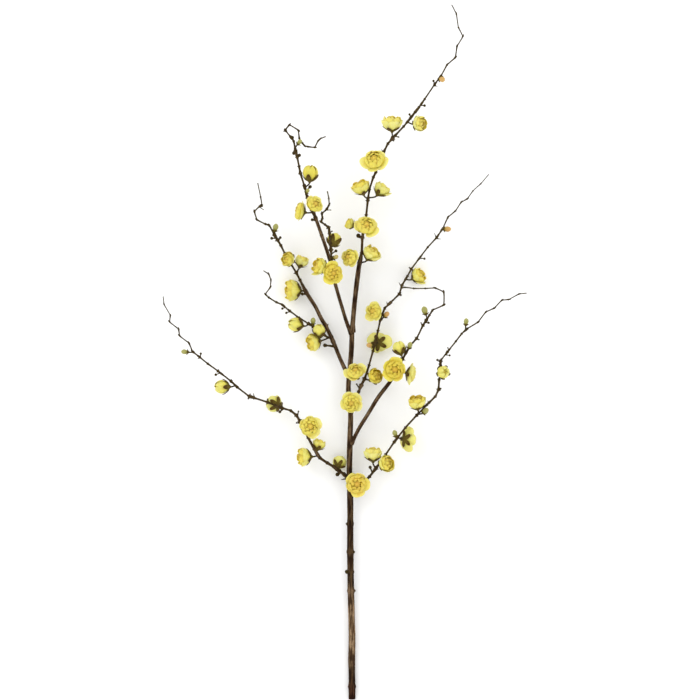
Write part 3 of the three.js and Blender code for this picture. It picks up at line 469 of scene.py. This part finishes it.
def smoothed(rows, spacing):
    """Lengths along a curve through the rows, its rows, and distances to the rows on each side.

    Between two rows it is the cubic whose slope at each is the mean slope there. The slopes are
    damped where the limb is thin, so that a twig runs almost straight from bend to bend.
    """
    steps = np.linalg.norm(np.diff(rows[:, :3], axis=0), axis=1)
    reach = np.concatenate([[0], np.cumsum(steps)])
    damping = np.interp(rows[:, 3:], [1.7, 2.8], [0.3, 1.0])
    slopes = np.gradient(rows, reach, axis=0) * damping
    ticks = np.concatenate([[0], np.cumsum(np.ceil(steps / spacing))])
    at = np.interp(np.arange(ticks[-1] + 1), ticks, reach)
    k = np.clip(np.searchsorted(reach, at) - 1, 0, len(steps) - 1)
    span = steps[k][:, None]
    u = ((at - reach[k]) / steps[k])[:, None]
    start, end = rows[k], rows[k + 1]
    leave, arrive = slopes[k] * span, slopes[k + 1] * span
    curve = (
        (2 * u**3 - 3 * u**2 + 1) * start + (u**3 - 2 * u**2 + u) * leave
        + (3 * u**2 - 2 * u**3) * end + (u**3 - u**2) * arrive
    )
    return at, curve, reach[k + 1] - at, np.where(k > 0, at - reach[k], 9.0)


def bark_relief(around, along, offset):
    """Share by which bark stands out: long wandering ridges, low lumps and fine cross cracks.

    Each is a product or sum of sines of the angle round the limb and the length along it.
    """
    ridges = np.sin(5 * around + 0.9 * np.sin(0.031 * along + offset))
    ridges += 0.7 * np.sin(9 * around - 1.3 * np.sin(0.047 * along) + offset)
    lumps = np.sin(0.13 * along + 2 * around + offset) * np.sin(0.041 * along + offset)
    cracks = np.sin(0.9 * along + 1.7 * np.sin(3 * around)) * np.sin(0.17 * along - around)
    return RIDGES * ridges + LUMPS * lumps + CRACKS * cracks


def bark(name, limb, growths, sides, spacing):
    """A limb as a tube whose radius swells at its root, at each growth and with the relief.

    Each swelling is an exponential of the squared distance. A twig also swells to a knot at
    each bend, an exponential of the distance that is slower before the bend than after it.
    `age` holds the thickness, how worn the bark is, and how red.
    """
    along, rows, ahead, behind = smoothed(limb, spacing)
    thickness = rows[:, 3]
    around = full_turn(sides)
    offset = 1.7 * list(LIMBS).index(name)
    near = (along[:, None] - np.array(growths)[None, :]) / GROWTH_REACH
    swell = np.exp(-near ** 2).sum(1).clip(0, 1)
    twig = np.interp(thickness, TWIG_RADII, [1, 0])
    knot = np.exp(-ahead / KNOT_BEFORE) + np.exp(-behind / KNOT_AFTER)
    knot = np.minimum(knot, 1) * (1 - np.exp((along - along[-1]) / KNOT_FADE))
    radius = thickness * (1 + (0.2 + 0.35 * twig) * swell)
    radius = radius * (1 + twig * (KNOT * knot - TWIG_SLENDER))
    if name != "trunk":
        radius = radius * (1 + COLLAR * np.exp(-((along / (COLLAR_REACH * radius[0])) ** 2)))
    radius[[0, -1]] *= 0.96, 0.5
    relief = bark_relief(around[None, :], along[:, None], offset)
    rings = tube(rows[:, :3], radius[:, None] * (1 + relief), sides)
    grain = polar(thickness[:, None], around, along[:, None] + 40 * offset)
    lower = thickness > LOWER_TRUNK
    worn = np.exp(-((rows[:, 1] - WORN_PLACE) / WORN_REACH) ** 2) * lower
    upper = np.interp(rows[:, 1], UPPER_WOOD, [0, UPPER_WORN])
    worn = worn + upper * np.interp(thickness, [1.0, 2.2], [0.45, 1])
    red = np.exp(-(rows[:, 1] / RED_REACH) ** 2) * lower
    return skin(rings, grain=grain, age=vectors(thickness / TRUNK_RADIUS, worn, red)[:, None])


def spur(limb, x, y, head):
    """A spur from inside the limb to its tip: a thorn, or a neck under a pointed pinhead bud.

    It leaves the limb behind the place nearest to it, so that it leans towards the limb's tip.
    """
    near, reach = nearest_on(limb, x, y)
    distance = np.hypot(x - near[0], y - near[1])
    place = place_on(limb, max(reach - 0.6 * distance, 0))
    root, root_radius = place[:3], place[3]
    middle = np.array([x, y, near[2] + SPUR_LEAN * distance * np.sin(x + y)])
    way = unit(middle - root)
    tip = middle + way * head
    length = np.linalg.norm(tip - root)
    if head:
        share = np.array([0, 0.25, 0.5, 0.62, 0.75, 0.88, 0.97, 1.0])
        back = (1 - share) * length / head  # distance behind the tip, over the head's radius
        bulb = np.sqrt(np.clip(1 - (back - 1) ** 2, 0, None)) * head
        neck = root_radius * np.interp(share, [0, 0.6], [0.75, 0.4]) + 0.1
        radius = np.maximum(bulb, np.where(back > 1, neck, 0.12))
    else:
        share = THORN_SHARES
        radius = 0.7 * root_radius * (1 - share) ** 0.8 + 0.1
    middles = root + way * (share * length)[:, None]
    rings = tube(middles, radius, 10)
    return skin(rings, grain=rings - rings.mean((0, 1)), age=SPUR_AGE)


def stubs(limb):
    """Where a twig bends, a blunt thorn on along the way that it came, up and down by turns."""
    ways = unit(np.diff(limb[:, :3], axis=0))
    bend = np.degrees(np.arccos(np.clip((ways[:-1] * ways[1:]).sum(1), -1, 1)))
    shapes = []
    for i in np.flatnonzero((bend > STUB_BEND) & (limb[1:-1, 3] <= STUB_TWIG)):
        here, radius = limb[i + 1, :3], limb[i + 1, 3]
        way = unit(ways[i] + np.array([0, 0, 0.5 if i % 2 == 0 else -0.5]))
        profile = radius * np.array([1.2, 1.15, 1.0, 0.7, 0.25])
        rings = tube(here + way * THORN_SHARES[:, None] * STUB_REACH, profile, 8)
        shapes.append(skin(rings, grain=rings - here, age=SPUR_AGE))
    return shapes


# Blooms

def bowl(form, length, share):
    """Radius, height and slope of the bowl: its slope grows evenly from `low` to `high`."""
    low, high = np.radians(form["low"]), np.radians(form["high"])
    slope = low + (high - low) * share
    scale = length / (high - low)
    height = form.get("flat", 1) * scale * (np.cos(low) - np.cos(slope))
    return scale * (np.sin(slope) - np.sin(low)), height, slope


def petal_length(form, width):
    """The arc of the bowl whose widest reach from the axis is half the width."""
    low, high = np.radians(form["low"]), np.radians(form["high"])
    return (width / 2) * (high - low) / (np.sin(min(high, np.pi / 2)) - np.sin(low))


def on_bowl(form, length, share, angle, inward):
    """Points on the bowl at a share of its length and an angle, moved off it by `inward`."""
    radius, height, slope = bowl(form, length, share)
    reach = radius - inward * np.sin(slope)
    lift = form["skin"] + height + inward * np.cos(slope)
    return polar(reach, angle, lift)


def petal(form, width, tier, count, turn, loose, chance):
    """One petal of the ring `tier`, which has `count` of them: a thin lens over a fan of the bowl.

    Across it s runs from -1 to 1 and along it t from 0 to 1. Its half angle widens from the
    claw and narrows again, and its tip is an arch in s with a slight notch. Off the bowl it
    leans with s, so that one edge is tucked in, curls inwards with the square of s, strays with
    the square of t, dips along its middle, and its rim waves with a sine of s. A loose petal is
    longer and strays out.
    """
    t, s = np.meshgrid(np.linspace(0, 1, 13) ** 0.85, np.linspace(-1, 1, 15), indexing="ij")
    length = petal_length(form, width)
    (least, most), (short, long) = form["stray"], form["size"]
    size, stray, phase, tone = chance.uniform([short, least, 0, 0], [long, most, 6.3, 1])
    if loose:
        size, stray = long, LOOSE_STRAY
    half = np.radians(np.interp(t, [0, 0.2, 0.45, 0.7, 0.88, 1], [14, 32, 46, 50, 47, 37]))
    half = half * 5 / count  # narrower where the ring has more petals
    tip = 1 - 0.17 * np.abs(s) ** 3 - 0.03 * np.exp(-((s / 0.2) ** 2))
    root = CORE_RADIUS * CLAW_SHARES[tier] / length
    share = root + (tip * size - root) * t
    overlap = PETAL_OVERLAP * OVERLAP_SHARES[tier]
    lean = s * (0.2 + (overlap - 0.2) * np.minimum(t / 0.5, 1))
    curl = 0.04 * length * s**2 * t + stray * width * t**2
    wave = WAVES[tier] * length * t**3 * np.sin(4.2 * s + phase) * (0.4 + np.abs(s))
    crease = -0.16 * np.exp(-((s / 0.12) ** 2)) * t
    thick = (0.05 + 0.2 * (1 - s**2)) * (1 - 0.7 * t) + 0.03
    inward = -0.45 + lean + curl + wave + crease
    angle = turn + s * half
    over, under = (on_bowl(form, length, share, angle, inward + k * thick) for k in (1, -1))
    lift = np.array([0, 0, TIER_RISE * tier])
    sides = np.array([0, 1])[:, None, None]
    return lens(over + lift, under + lift, petal=vectors(s, t, sides),
                tone=np.array([tone, phase / 6.3, tier / 2]))


def corolla(form, width, facing, roll, ways_out, chance):
    """The furled middle and all rings of petals, each turned by half a petal against the last.

    In the outer ring the petal nearest to each way out is loose. The ways are seen from above,
    with the bloom rolled and facing as it will be.
    """
    shapes = [heart(form, width)]
    for tier, (share, low, high, flat, count) in enumerate(form["rings"]):
        ring = {**form, "low": low, "high": high, "flat": flat}
        if tier > 0:
            ring.update(stray=INNER_STRAY, size=INNER_SIZE)
        turns = (2 * np.arange(count) + tier) * np.pi / count
        ways = turned(polar(1, turns, 0), facing, roll, 0)[:, :2]
        loose = {int(np.argmax(ways @ way)) for way in ways_out if tier == 0}
        shapes += [
            petal(ring, share * width, tier, count, turn + chance.uniform(-0.05, 0.05),
                  k in loose, chance)
            for k, turn in enumerate(turns)
        ]
    return together(shapes)


def mouth_height(form, width):
    """How high the rim of the inmost ring stands above the seat."""
    share, low, high, flat, _ = form["rings"][-1]
    inmost = {"low": low, "high": high, "flat": flat}
    rise = bowl(inmost, petal_length(inmost, share * width), 1)[1]
    return rise + form["skin"] + TIER_RISE * (len(form["rings"]) - 1)


def heart(form, width):
    """The furled petals at the middle: a bud inside the inmost ring, not as high."""
    share = form["rings"][-1][0]
    furled = {"low": 8, "high": 172}
    furled_width = HEART_WIDTH * share * width
    rise = bowl(furled, petal_length(furled, furled_width), 1)[1]
    foot = TIER_RISE * (len(form["rings"]) - 1)
    furled["flat"] = (HEART_HEIGHT * mouth_height(form, width) - foot) / rise
    shape = closed_bud(furled, furled_width)
    shape["points"][:, 2] += foot
    shape["marks"]["petal"][:, 2] = 0
    shape["marks"]["tone"][:] = [0.5, 0.5, 1]
    return shape


def stamens(form, width, chance):
    """Stamens in a golden-angle spiral that lean outwards, each a hair that ends in an anther.

    They fill the mouth of the inmost ring, and the longest stand just over its rim.
    """
    shapes = []
    for i in range(STAMENS):
        angle = GOLDEN_ANGLE * i
        spread = np.radians(STAMEN_SPREAD * np.sqrt(i / STAMENS))
        reach = (mouth_height(form, width) - STAMEN_ROOT) * chance.uniform(0.9, 1.06)
        way = polar(np.sin(spread), angle, np.cos(spread))
        root = polar(0.35 * CORE_RADIUS, angle, STAMEN_ROOT)
        share = np.array([0, 0.5, 0.9, 0.92, 0.96, 1.0])
        middles = root + way * (share * reach)[:, None]
        rings = tube(middles, np.array([0.16, 0.13, 0.12, 0.4, 0.5, 0.2]), 6)
        shapes.append(skin(rings, petal=vectors(0, share, 0)[:, None],
                           tone=np.array([chance.random(), 0, 0])))
    return together(shapes)


def closed_bud(form, width):
    """A bud: the whole bowl turned round its axis, with five petals wrapped over one another.

    Its radius rises and falls along a saw of the angle, which twists with the height.
    """
    length = petal_length(form, width)
    share = np.linspace(0.04, 0.97, 16)[:, None]
    around = full_turn(40)[None, :]
    radius, height, _ = bowl(form, length, share)
    saw = (WRAPS * around / (2 * np.pi) + 0.9 * share) % 1
    step = np.minimum(saw / 0.15, (1 - saw) / 0.85)
    radius = radius * (0.9 - 0.1 * (1 - step) * np.sin(np.pi * share) ** 0.5)
    return skin(polar(radius, around, height), petal=vectors(2 * step - 1, share, 1),
                tone=np.array([0.5, 0.5, 0]))


# The calyx from the stalk up: radius over the stalk's, and height over the calyx's depth.
CUP_PROFILE = [(0.8, -1.3), (1, -1), (1.25, -0.9), (1.9, -0.62), (2.15, -0.42)]
# The sepals outside and then inside: share of their reach, and how thick they are there.
SEPAL_PROFILE = [(0.35, 1.0), (0.55, 0.75), (0.72, 0.5), (0.87, 0.32), (1, 0.12),
                 (1, 0), (0.85, 0), (0.6, 0), (0.3, 0)]


def calyx_depth(form):
    """From the seat down to the end of the stalk. A bud's calyx is shallower."""
    return (0.6 if form["skin"] == 0 else 1) * CALYX_DEPTH


def calyx(form, width):
    """Stalk end, cup and five sepals as rings round the axis.

    The reach of the sepals is a power of the squared cosine of half their number times the
    angle. Their tips bend away from the petals with a power of the share of their reach.
    """
    length = petal_length(form, width)
    closed = form["skin"] == 0
    below = form["skin"] + GAP + (0.75 if closed else 0.45) * CALYX_SLACK
    around = full_turn(60)
    lobe = (np.cos(SEPALS / 2 * around) ** 2) ** 0.8
    reach = form["sepals"] * ((0.75 if closed else 0.4) + (0.35 if closed else 0.65) * lobe)
    rings, marks = [], []
    for radius, height in CUP_PROFILE:
        rings.append(polar(radius * STALK_RADIUS, around, height * calyx_depth(form)))
        marks.append(0.1 + 0 * around)
    for share, thick in SEPAL_PROFILE:
        bend = -1.1 * ((share - 0.55) / 0.45 * (share > 0.55)) ** 1.5 * lobe
        rings.append(on_bowl(form, length, share * reach, around, bend - below - thick))
        marks.append(share * (0.4 + 0.6 * lobe))
    rings = np.array(rings)
    return skin(rings, grain=rings, leaf=vectors(0, np.array(marks), 0))


def stalk(root, root_radius, back, facing):
    """A stalk on the cubic that leaves the limb towards the calyx and enters it head on."""
    run = np.linalg.norm(back - root)
    way = unit(back - root)
    u = np.linspace(0, 1, 9)[:, None]
    first, second = root + way * run / 3, back - (0.6 * facing + 0.4 * way) * run / 3
    middles = (
        (1 - u)**3 * root + 3 * (1 - u)**2 * u * first + 3 * (1 - u) * u**2 * second + u**3 * back
    )
    thin = min(STALK_RADIUS, 0.6 * root_radius)
    radius = thin + (STALK_RADIUS - thin) * u[:, 0] + 0.35 * np.exp(-((u[:, 0] * run / 2.2) ** 2))
    rings = tube(middles, radius, 10)
    return skin(rings, grain=rings - root, leaf=np.zeros(3))


# Materials

PETAL_COLOURS = ["Throat", "Middle", "Edge", "Back", "Blush"]


def screen(red, green, blue):
    """The linear colour of a screen colour given from 0 to 255."""
    shares = np.array([red, green, blue]) / 255
    linear = np.where(shares <= 0.04045, shares / 12.92, ((shares + 0.055) / 1.055) ** 2.4)
    return (*linear.tolist(), 1.0)


def feed(tree, node, inputs):
    """Gives a node its inputs. Each is a number, a colour, or another node's output."""
    for name, value in inputs.items():
        if isinstance(value, bpy.types.NodeSocket):
            tree.links.new(value, node.inputs[name])
        else:
            node.inputs[name].default_value = value


def add(tree, kind, inputs=None, **settings):
    """A node with its inputs and settings."""
    node = tree.nodes.new("ShaderNode" + kind)
    for name, value in settings.items():
        setattr(node, name, value)
    feed(tree, node, inputs or {})
    return node


def mix(tree, factor, first, second, blend="MIX"):
    """The first colour at a factor of 0, and at 1 the second, or the two multiplied."""
    node = add(tree, "Mix", {0: factor, 6: first, 7: second},
               data_type="RGBA", blend_type=blend)
    return node.outputs[2]


def maths(tree, operation, *values):
    """The result of one calculation on up to three values."""
    inputs = dict(enumerate(values))
    return add(tree, "Math", inputs, operation=operation).outputs[0]


def ramp(tree, value, low, high, top=1.0):
    """0 up to `low`, rising smoothly to `top` at `high`."""
    inputs = {"Value": value, "From Min": low, "From Max": high, "To Max": top}
    return add(tree, "MapRange", inputs, interpolation_type="SMOOTHSTEP").outputs[0]


def marked(tree, name):
    """The vector that a surface carries under a name, and its three parts."""
    vector = add(tree, "Attribute", attribute_name=name).outputs["Vector"]
    return vector, add(tree, "SeparateXYZ", {0: vector}).outputs


def stretched(tree, vector, scale):
    """The vector, with each part times its scale."""
    return add(tree, "Mapping", {"Vector": vector, "Scale": scale}).outputs[0]


def new_group(name, inputs, outputs):
    """An empty node group with named sockets, and its input and output nodes."""
    group = bpy.data.node_groups.new(name, "ShaderNodeTree")
    for in_out, sockets in (("INPUT", inputs), ("OUTPUT", outputs)):
        for socket, kind in sockets.items():
            group.interface.new_socket(socket, in_out=in_out, socket_type="NodeSocket" + kind)
    return group, group.nodes.new("NodeGroupInput").outputs, group.nodes.new("NodeGroupOutput")


def placed(tree, group, inputs):
    """The outputs of a node group placed in a tree."""
    return add(tree, "Group", inputs, node_tree=group).outputs


def patches_group():
    """Soft patches: noise whose values from Low to High become 0 to 1."""
    group, given, out = new_group(
        "soft_patches",
        {"Vector": "Vector", "Scale": "Float", "Low": "Float", "High": "Float"},
        {"Mask": "Float"},
    )
    noise = add(group, "TexNoise",
                {"Vector": given["Vector"], "Scale": given["Scale"], "Detail": 3.0})
    mask = ramp(group, noise.outputs[0], given["Low"], given["High"])
    feed(group, out, {"Mask": mask})
    return group


def patches(tree, vector, scale, low, high):
    """The mask of soft patches over a vector."""
    inputs = {"Vector": vector, "Scale": scale, "Low": low, "High": high}
    return placed(tree, soft_patches, inputs)["Mask"]


def petal_group():
    """A petal's colour from throat to edge, with warm blushes and rims and fine veins.

    The outer ring has a greener back, which turns a darker olive towards the claw: painted shade at
    the foot of the cup.
    """
    group, given, out = new_group(
        "petal_surface",
        {**dict.fromkeys(PETAL_COLOURS, "Color"), "Blush Amount": "Float"},
        {"Color": "Color", "Height": "Float"},
    )
    _, (across, along, side) = marked(group, "petal")
    _, (tone, _, tier) = marked(group, "tone")
    place = add(group, "TexCoord").outputs["Object"]
    colour = mix(group, ramp(group, along, 0.02, 0.36), given["Throat"], given["Middle"])
    colour = mix(group, ramp(group, along, 0.4, 0.9), colour, given["Edge"])
    inner = mix(group, ramp(group, along, 0.35, 0.95, 0.6), given["Middle"],
                given["Throat"])
    colour = mix(group, ramp(group, tier, 0.0, 0.5), colour, inner)
    blush = patches(group, place, 130.0, 0.5, 0.7)
    amount = maths(group, "MULTIPLY", blush, given["Blush Amount"])
    colour = mix(group, amount, colour, given["Blush"])
    back = maths(group, "MULTIPLY", side, maths(group, "SUBTRACT", 1.0, tier))
    colour = mix(group, maths(group, "MULTIPLY", back, 0.6), colour, given["Back"])
    # painted shade: the backs darken to olive towards the claw, where the foot of the cup lies in
    # shade
    claw = maths(group, "MULTIPLY", ramp(group, along, 0.6, 0.1, 0.55), back)
    colour = mix(group, claw, colour, screen(176, 172, 60))
    rim = ramp(group, maths(group, "ABSOLUTE", across), 0.7, 1.0, 0.1)
    colour = mix(group, rim, colour, given["Blush"])
    fan = add(group, "CombineXYZ", {0: across, 1: along, 2: tone}).outputs[0]
    veins = patches(group, stretched(group, fan, (9.0, 1.1, 7.0)), 1.6, 0.42, 0.62)
    colour = mix(group, ramp(group, veins, 0.0, 1.0, 0.16), colour, screen(214, 196, 150),
                 "MULTIPLY")
    feed(group, out, {"Color": colour, "Height": veins})
    return group


def finished(material, height, distance, strength, **inputs):
    """Puts a bump and the other inputs on the material's own shader."""
    tree = material.node_tree
    bump = add(tree, "Bump", {"Height": height, "Distance": distance, "Strength": strength})
    inputs = {name.replace("_", " "): value for name, value in inputs.items()}
    feed(tree, tree.nodes["Principled BSDF"], {**inputs, "Normal": bump.outputs[0]})
    return material


def new_material(name):
    """A material and its tree of nodes."""
    material = bpy.data.materials.new(name)
    material.use_nodes = True
    return material, material.node_tree


def petal_material(name, *palette):
    """Soft, slightly translucent petals in five colours, the last laid on in patches."""
    material, tree = new_material(name)
    *colours, amount = palette
    inputs = {part: screen(*colour) for part, colour in zip(PETAL_COLOURS, colours)}
    surface = placed(tree, petal_surface, {**inputs, "Blush Amount": amount})
    return finished(material, surface["Height"], 0.0003, 0.35, Base_Color=surface["Color"],
                    Roughness=0.55, Subsurface_Weight=0.35, Subsurface_Scale=0.0012,
                    Subsurface_Radius=(1.0, 0.8, 0.3))


def bark_material():
    """Dark brown bark with grey-brown streaks along the limb, paler in the upper wood.

    It is worn pale in one stretch of the trunk and reddish at the cut end. Thin twigs are an
    even olive brown.
    """
    material, tree = new_material("bark")
    grain, _ = marked(tree, "grain")
    _, (thickness, worn, red) = marked(tree, "age")
    streaks = patches(tree, stretched(tree, grain, (1.0, 1.0, 0.13)), 0.42, 0.43, 0.6)
    flecks = patches(tree, stretched(tree, grain, (1.0, 1.0, 0.4)), 1.3, 0.5, 0.66)
    broad = patches(tree, stretched(tree, grain, (0.4, 0.4, 1.0)), 0.045, 0.42, 0.58)
    colour = mix(tree, streaks, screen(31, 17, 6), screen(80, 61, 38))
    colour = mix(tree, ramp(tree, broad, 0.0, 1.0, 0.35), colour, screen(60, 38, 24))
    twig = mix(tree, flecks, screen(54, 42, 17), screen(92, 77, 42))
    colour = mix(tree, ramp(tree, thickness, 0.25, 0.6), twig, colour)
    pale = mix(tree, streaks, screen(88, 64, 42), screen(164, 136, 104))
    uneven = maths(tree, "MULTIPLY", worn, maths(tree, "MULTIPLY_ADD", broad, 0.4, 0.6))
    colour = mix(tree, ramp(tree, uneven, 0.1, 0.9, 0.85), colour, pale)
    reddish = mix(tree, streaks, screen(34, 13, 6), screen(76, 45, 29))
    colour = mix(tree, ramp(tree, red, 0.0, 1.0, 0.85), colour, reddish)
    dark = maths(tree, "MULTIPLY", maths(tree, "MULTIPLY", flecks, 0.45), thickness)
    colour = mix(tree, dark, colour, screen(38, 22, 12))
    height = maths(tree, "ADD", streaks, flecks)
    rough = add(tree, "MapRange",
                {"Value": flecks, "To Min": 0.68, "To Max": 0.88}).outputs[0]
    return finished(material, height, 0.0006, 0.6, Base_Color=colour, Roughness=rough,
                    Specular_IOR_Level=0.06)


def calyx_material():
    """Dark brown stalks that turn olive in the cup, with brown, slightly mottled sepals."""
    material, tree = new_material("calyx")
    grain, _ = marked(tree, "grain")
    _, (_, outwards, _) = marked(tree, "leaf")
    mottle = patches(tree, grain, 0.55, 0.3, 0.72)
    cup = mix(tree, mottle, screen(80, 66, 20), screen(104, 90, 32))
    tips = mix(tree, mottle, screen(68, 46, 14), screen(90, 64, 22))
    colour = mix(tree, ramp(tree, outwards, 0.0, 0.14), screen(50, 38, 20), cup)
    colour = mix(tree, ramp(tree, outwards, 0.4, 0.95), colour, tips)
    return finished(material, mottle, 0.0003, 0.5, Base_Color=colour, Roughness=0.7,
                    Specular_IOR_Level=0.12)


def stamen_material():
    """Yellow hairs with golden anthers."""
    material, tree = new_material("stamens")
    _, (_, along, _) = marked(tree, "petal")
    _, (tone, _, _) = marked(tree, "tone")
    anther = mix(tree, tone, screen(224, 186, 72), screen(242, 212, 96))
    colour = mix(tree, ramp(tree, along, 0.89, 0.92), screen(232, 206, 84), anther)
    return finished(material, tone, 0.0001, 0.2, Base_Color=colour, Roughness=0.6)


# The five colours of a petal, and how strong the blush is.
PALETTES = {
    "petal_yellow": [(225, 197, 66), (233, 219, 92), (239, 231, 140), (221, 212, 92),
                     (227, 184, 76), 0.4],
    "petal_pale": [(227, 205, 86), (235, 225, 116), (240, 235, 156), (225, 218, 114),
                   (229, 192, 92), 0.35],
    "petal_deep": [(217, 184, 50), (228, 208, 66), (235, 223, 102), (215, 201, 72),
                   (221, 172, 58), 0.5],
    "petal_orange": [(222, 186, 60), (230, 208, 80), (238, 224, 118), (222, 205, 86),
                     (228, 178, 70), 0.5],
    "petal_green": [(215, 196, 78), (227, 220, 100), (235, 229, 138), (219, 214, 116),
                    (223, 197, 98), 0.35],
    "bud_green": [(86, 90, 40), (150, 150, 80), (184, 182, 108), (154, 154, 84),
                  (196, 160, 88), 0.55],
    "bud_orange": [(128, 92, 44), (196, 150, 80), (222, 184, 112), (198, 154, 84),
                   (170, 112, 56), 0.6],
    "bud_tan": [(104, 88, 44), (184, 166, 92), (200, 184, 112), (186, 168, 96),
                (158, 128, 64), 0.6],
}
soft_patches = patches_group()
petal_surface = petal_group()
petal_materials = {name: petal_material(name, *palette) for name, palette in PALETTES.items()}

limbs, growths = {}, {}
for name, (parent, heights, route, spurs) in LIMBS.items():
    if parent:
        heights = [nearest_on(limbs[parent], *route[0][:2])[0][2], *heights]
    limbs[name] = knuckles(route, heights)
    growths[name] = [nearest_on(limbs[name], x, y)[1] for x, y, _ in spurs]

calyces, all_stamens = [], []
for i, (place, form_name, x, y, width, face, rise, colour, *ways_out) in enumerate(BLOOMS):
    form = FORMS[form_name]
    name = ("bud_" if form_name == "bud" else "bloom_") + place
    limb = OTHER_LIMBS.get(name, place.rsplit("_", 1)[0])
    chance = np.random.default_rng(FIRST_SEED + i)
    facing = unit(np.array(face, float))
    roll = GOLDEN_ANGLE * i
    depth = bowl(form, petal_length(form, width), 1)[1] + form["skin"]
    base = nearest_on(limbs[limb], x, y)[0][2]
    seat = np.array([x, y, base + rise]) - facing * depth / 2
    behind = seat - STALK_BACK * facing
    root, reach = nearest_on(limbs[limb], behind[0], behind[1])
    growths[limb].append(reach)
    if form_name == "bud":
        flower, slot = closed_bud(form, width), "bud_" + colour
    else:
        stray = np.array(form["stray"])
        stray = stray.clip(0) if base + rise < LOW_BLOOM * width else stray
        flower = corolla({**form, "stray": stray}, width, facing, roll, ways_out, chance)
        slot = "petal_" + colour
        if form_name != "globe":
            all_stamens.append(seated(stamens(form, width, chance), facing, roll, seat))
    piece(name + "_petals", seated(flower, facing, roll, seat), petal_materials[slot], slot, name)
    calyces.append(seated(calyx(form, width), facing, roll + np.pi / SEPALS, seat))
    calyces.append(stalk(root[:3], root[3], seat - facing * calyx_depth(form), facing))

wood = [
    bark(name, limb, growths[name], TRUNK_SIDES if name == "trunk" else LIMB_SIDES, RING_SPACING)
    for name, limb in limbs.items()
]
wood += [spur(limbs[name], *place) for name, (*_, spurs) in LIMBS.items() for place in spurs]
wood += [stub for limb in limbs.values() for stub in stubs(limb)]
piece("bark", together(wood), bark_material(), "wood", "wood")
piece("stalks_and_calyces", together(calyces), calyx_material(), "wood")
piece("stamens", together(all_stamens), stamen_material(), "petal_orange")


# Studio: a plain pale floor, a soft sky, a broad key light and a weak one from the other side.

floor_mesh = bpy.data.meshes.new("floor")
floor_mesh.from_pydata([(-4, -4, 0), (4, -4, 0), (4, 4, 0), (-4, 4, 0)], [], [(0, 1, 2, 3)])
floor_material, floor_tree = new_material("floor")
feed(floor_tree, floor_tree.nodes["Principled BSDF"],
     {"Base Color": (0.97, 0.97, 0.97, 1), "Roughness": 0.9})
floor_mesh.materials.append(floor_material)
floor = new_object("floor", floor_mesh)

world = bpy.data.worlds.new("soft_sky")
world.use_nodes = True
feed(world.node_tree, world.node_tree.nodes["Background"],
     {"Color": (1, 1, 1, 1), "Strength": 1.13})
bpy.context.scene.world = world


def area_light(name, place, size, watts):
    """A square light that faces the branch."""
    light = bpy.data.lights.new(name, "AREA")
    light.size, light.energy = size, watts
    lamp = new_object(name, light)
    lamp.location = place
    lamp.rotation_mode = "QUATERNION"
    lamp.rotation_quaternion = (-Vector(place)).to_track_quat("-Z", "Y")


area_light("key", (-1.6, 1.4, 2.2), 1.6, 14)
area_light("fill", (1.8, -0.8, 2.0), 1.8, 5)

# The camera looks straight down from far away, through a long lens.
FRAME_WIDTH = 0.98  # metres
FRAME_MIDDLE = np.array([-2.8, 490.0, 0])
FOCUS_HEIGHT = 0.04  # metres; the frame has its width this high above the floor
SENSOR = 36

camera_data = bpy.data.cameras.new("camera")
camera_data.sensor_width = SENSOR
camera_data.lens = 600
camera_data.clip_end = 100
camera = new_object("camera", camera_data)
x, y, _ = (FRAME_MIDDLE + SHIFT) * MM
camera.location = (x, y, FRAME_WIDTH * camera_data.lens / SENSOR + FOCUS_HEIGHT)
bpy.context.scene.camera = camera
bpy.context.scene.view_settings.view_transform = "Standard"
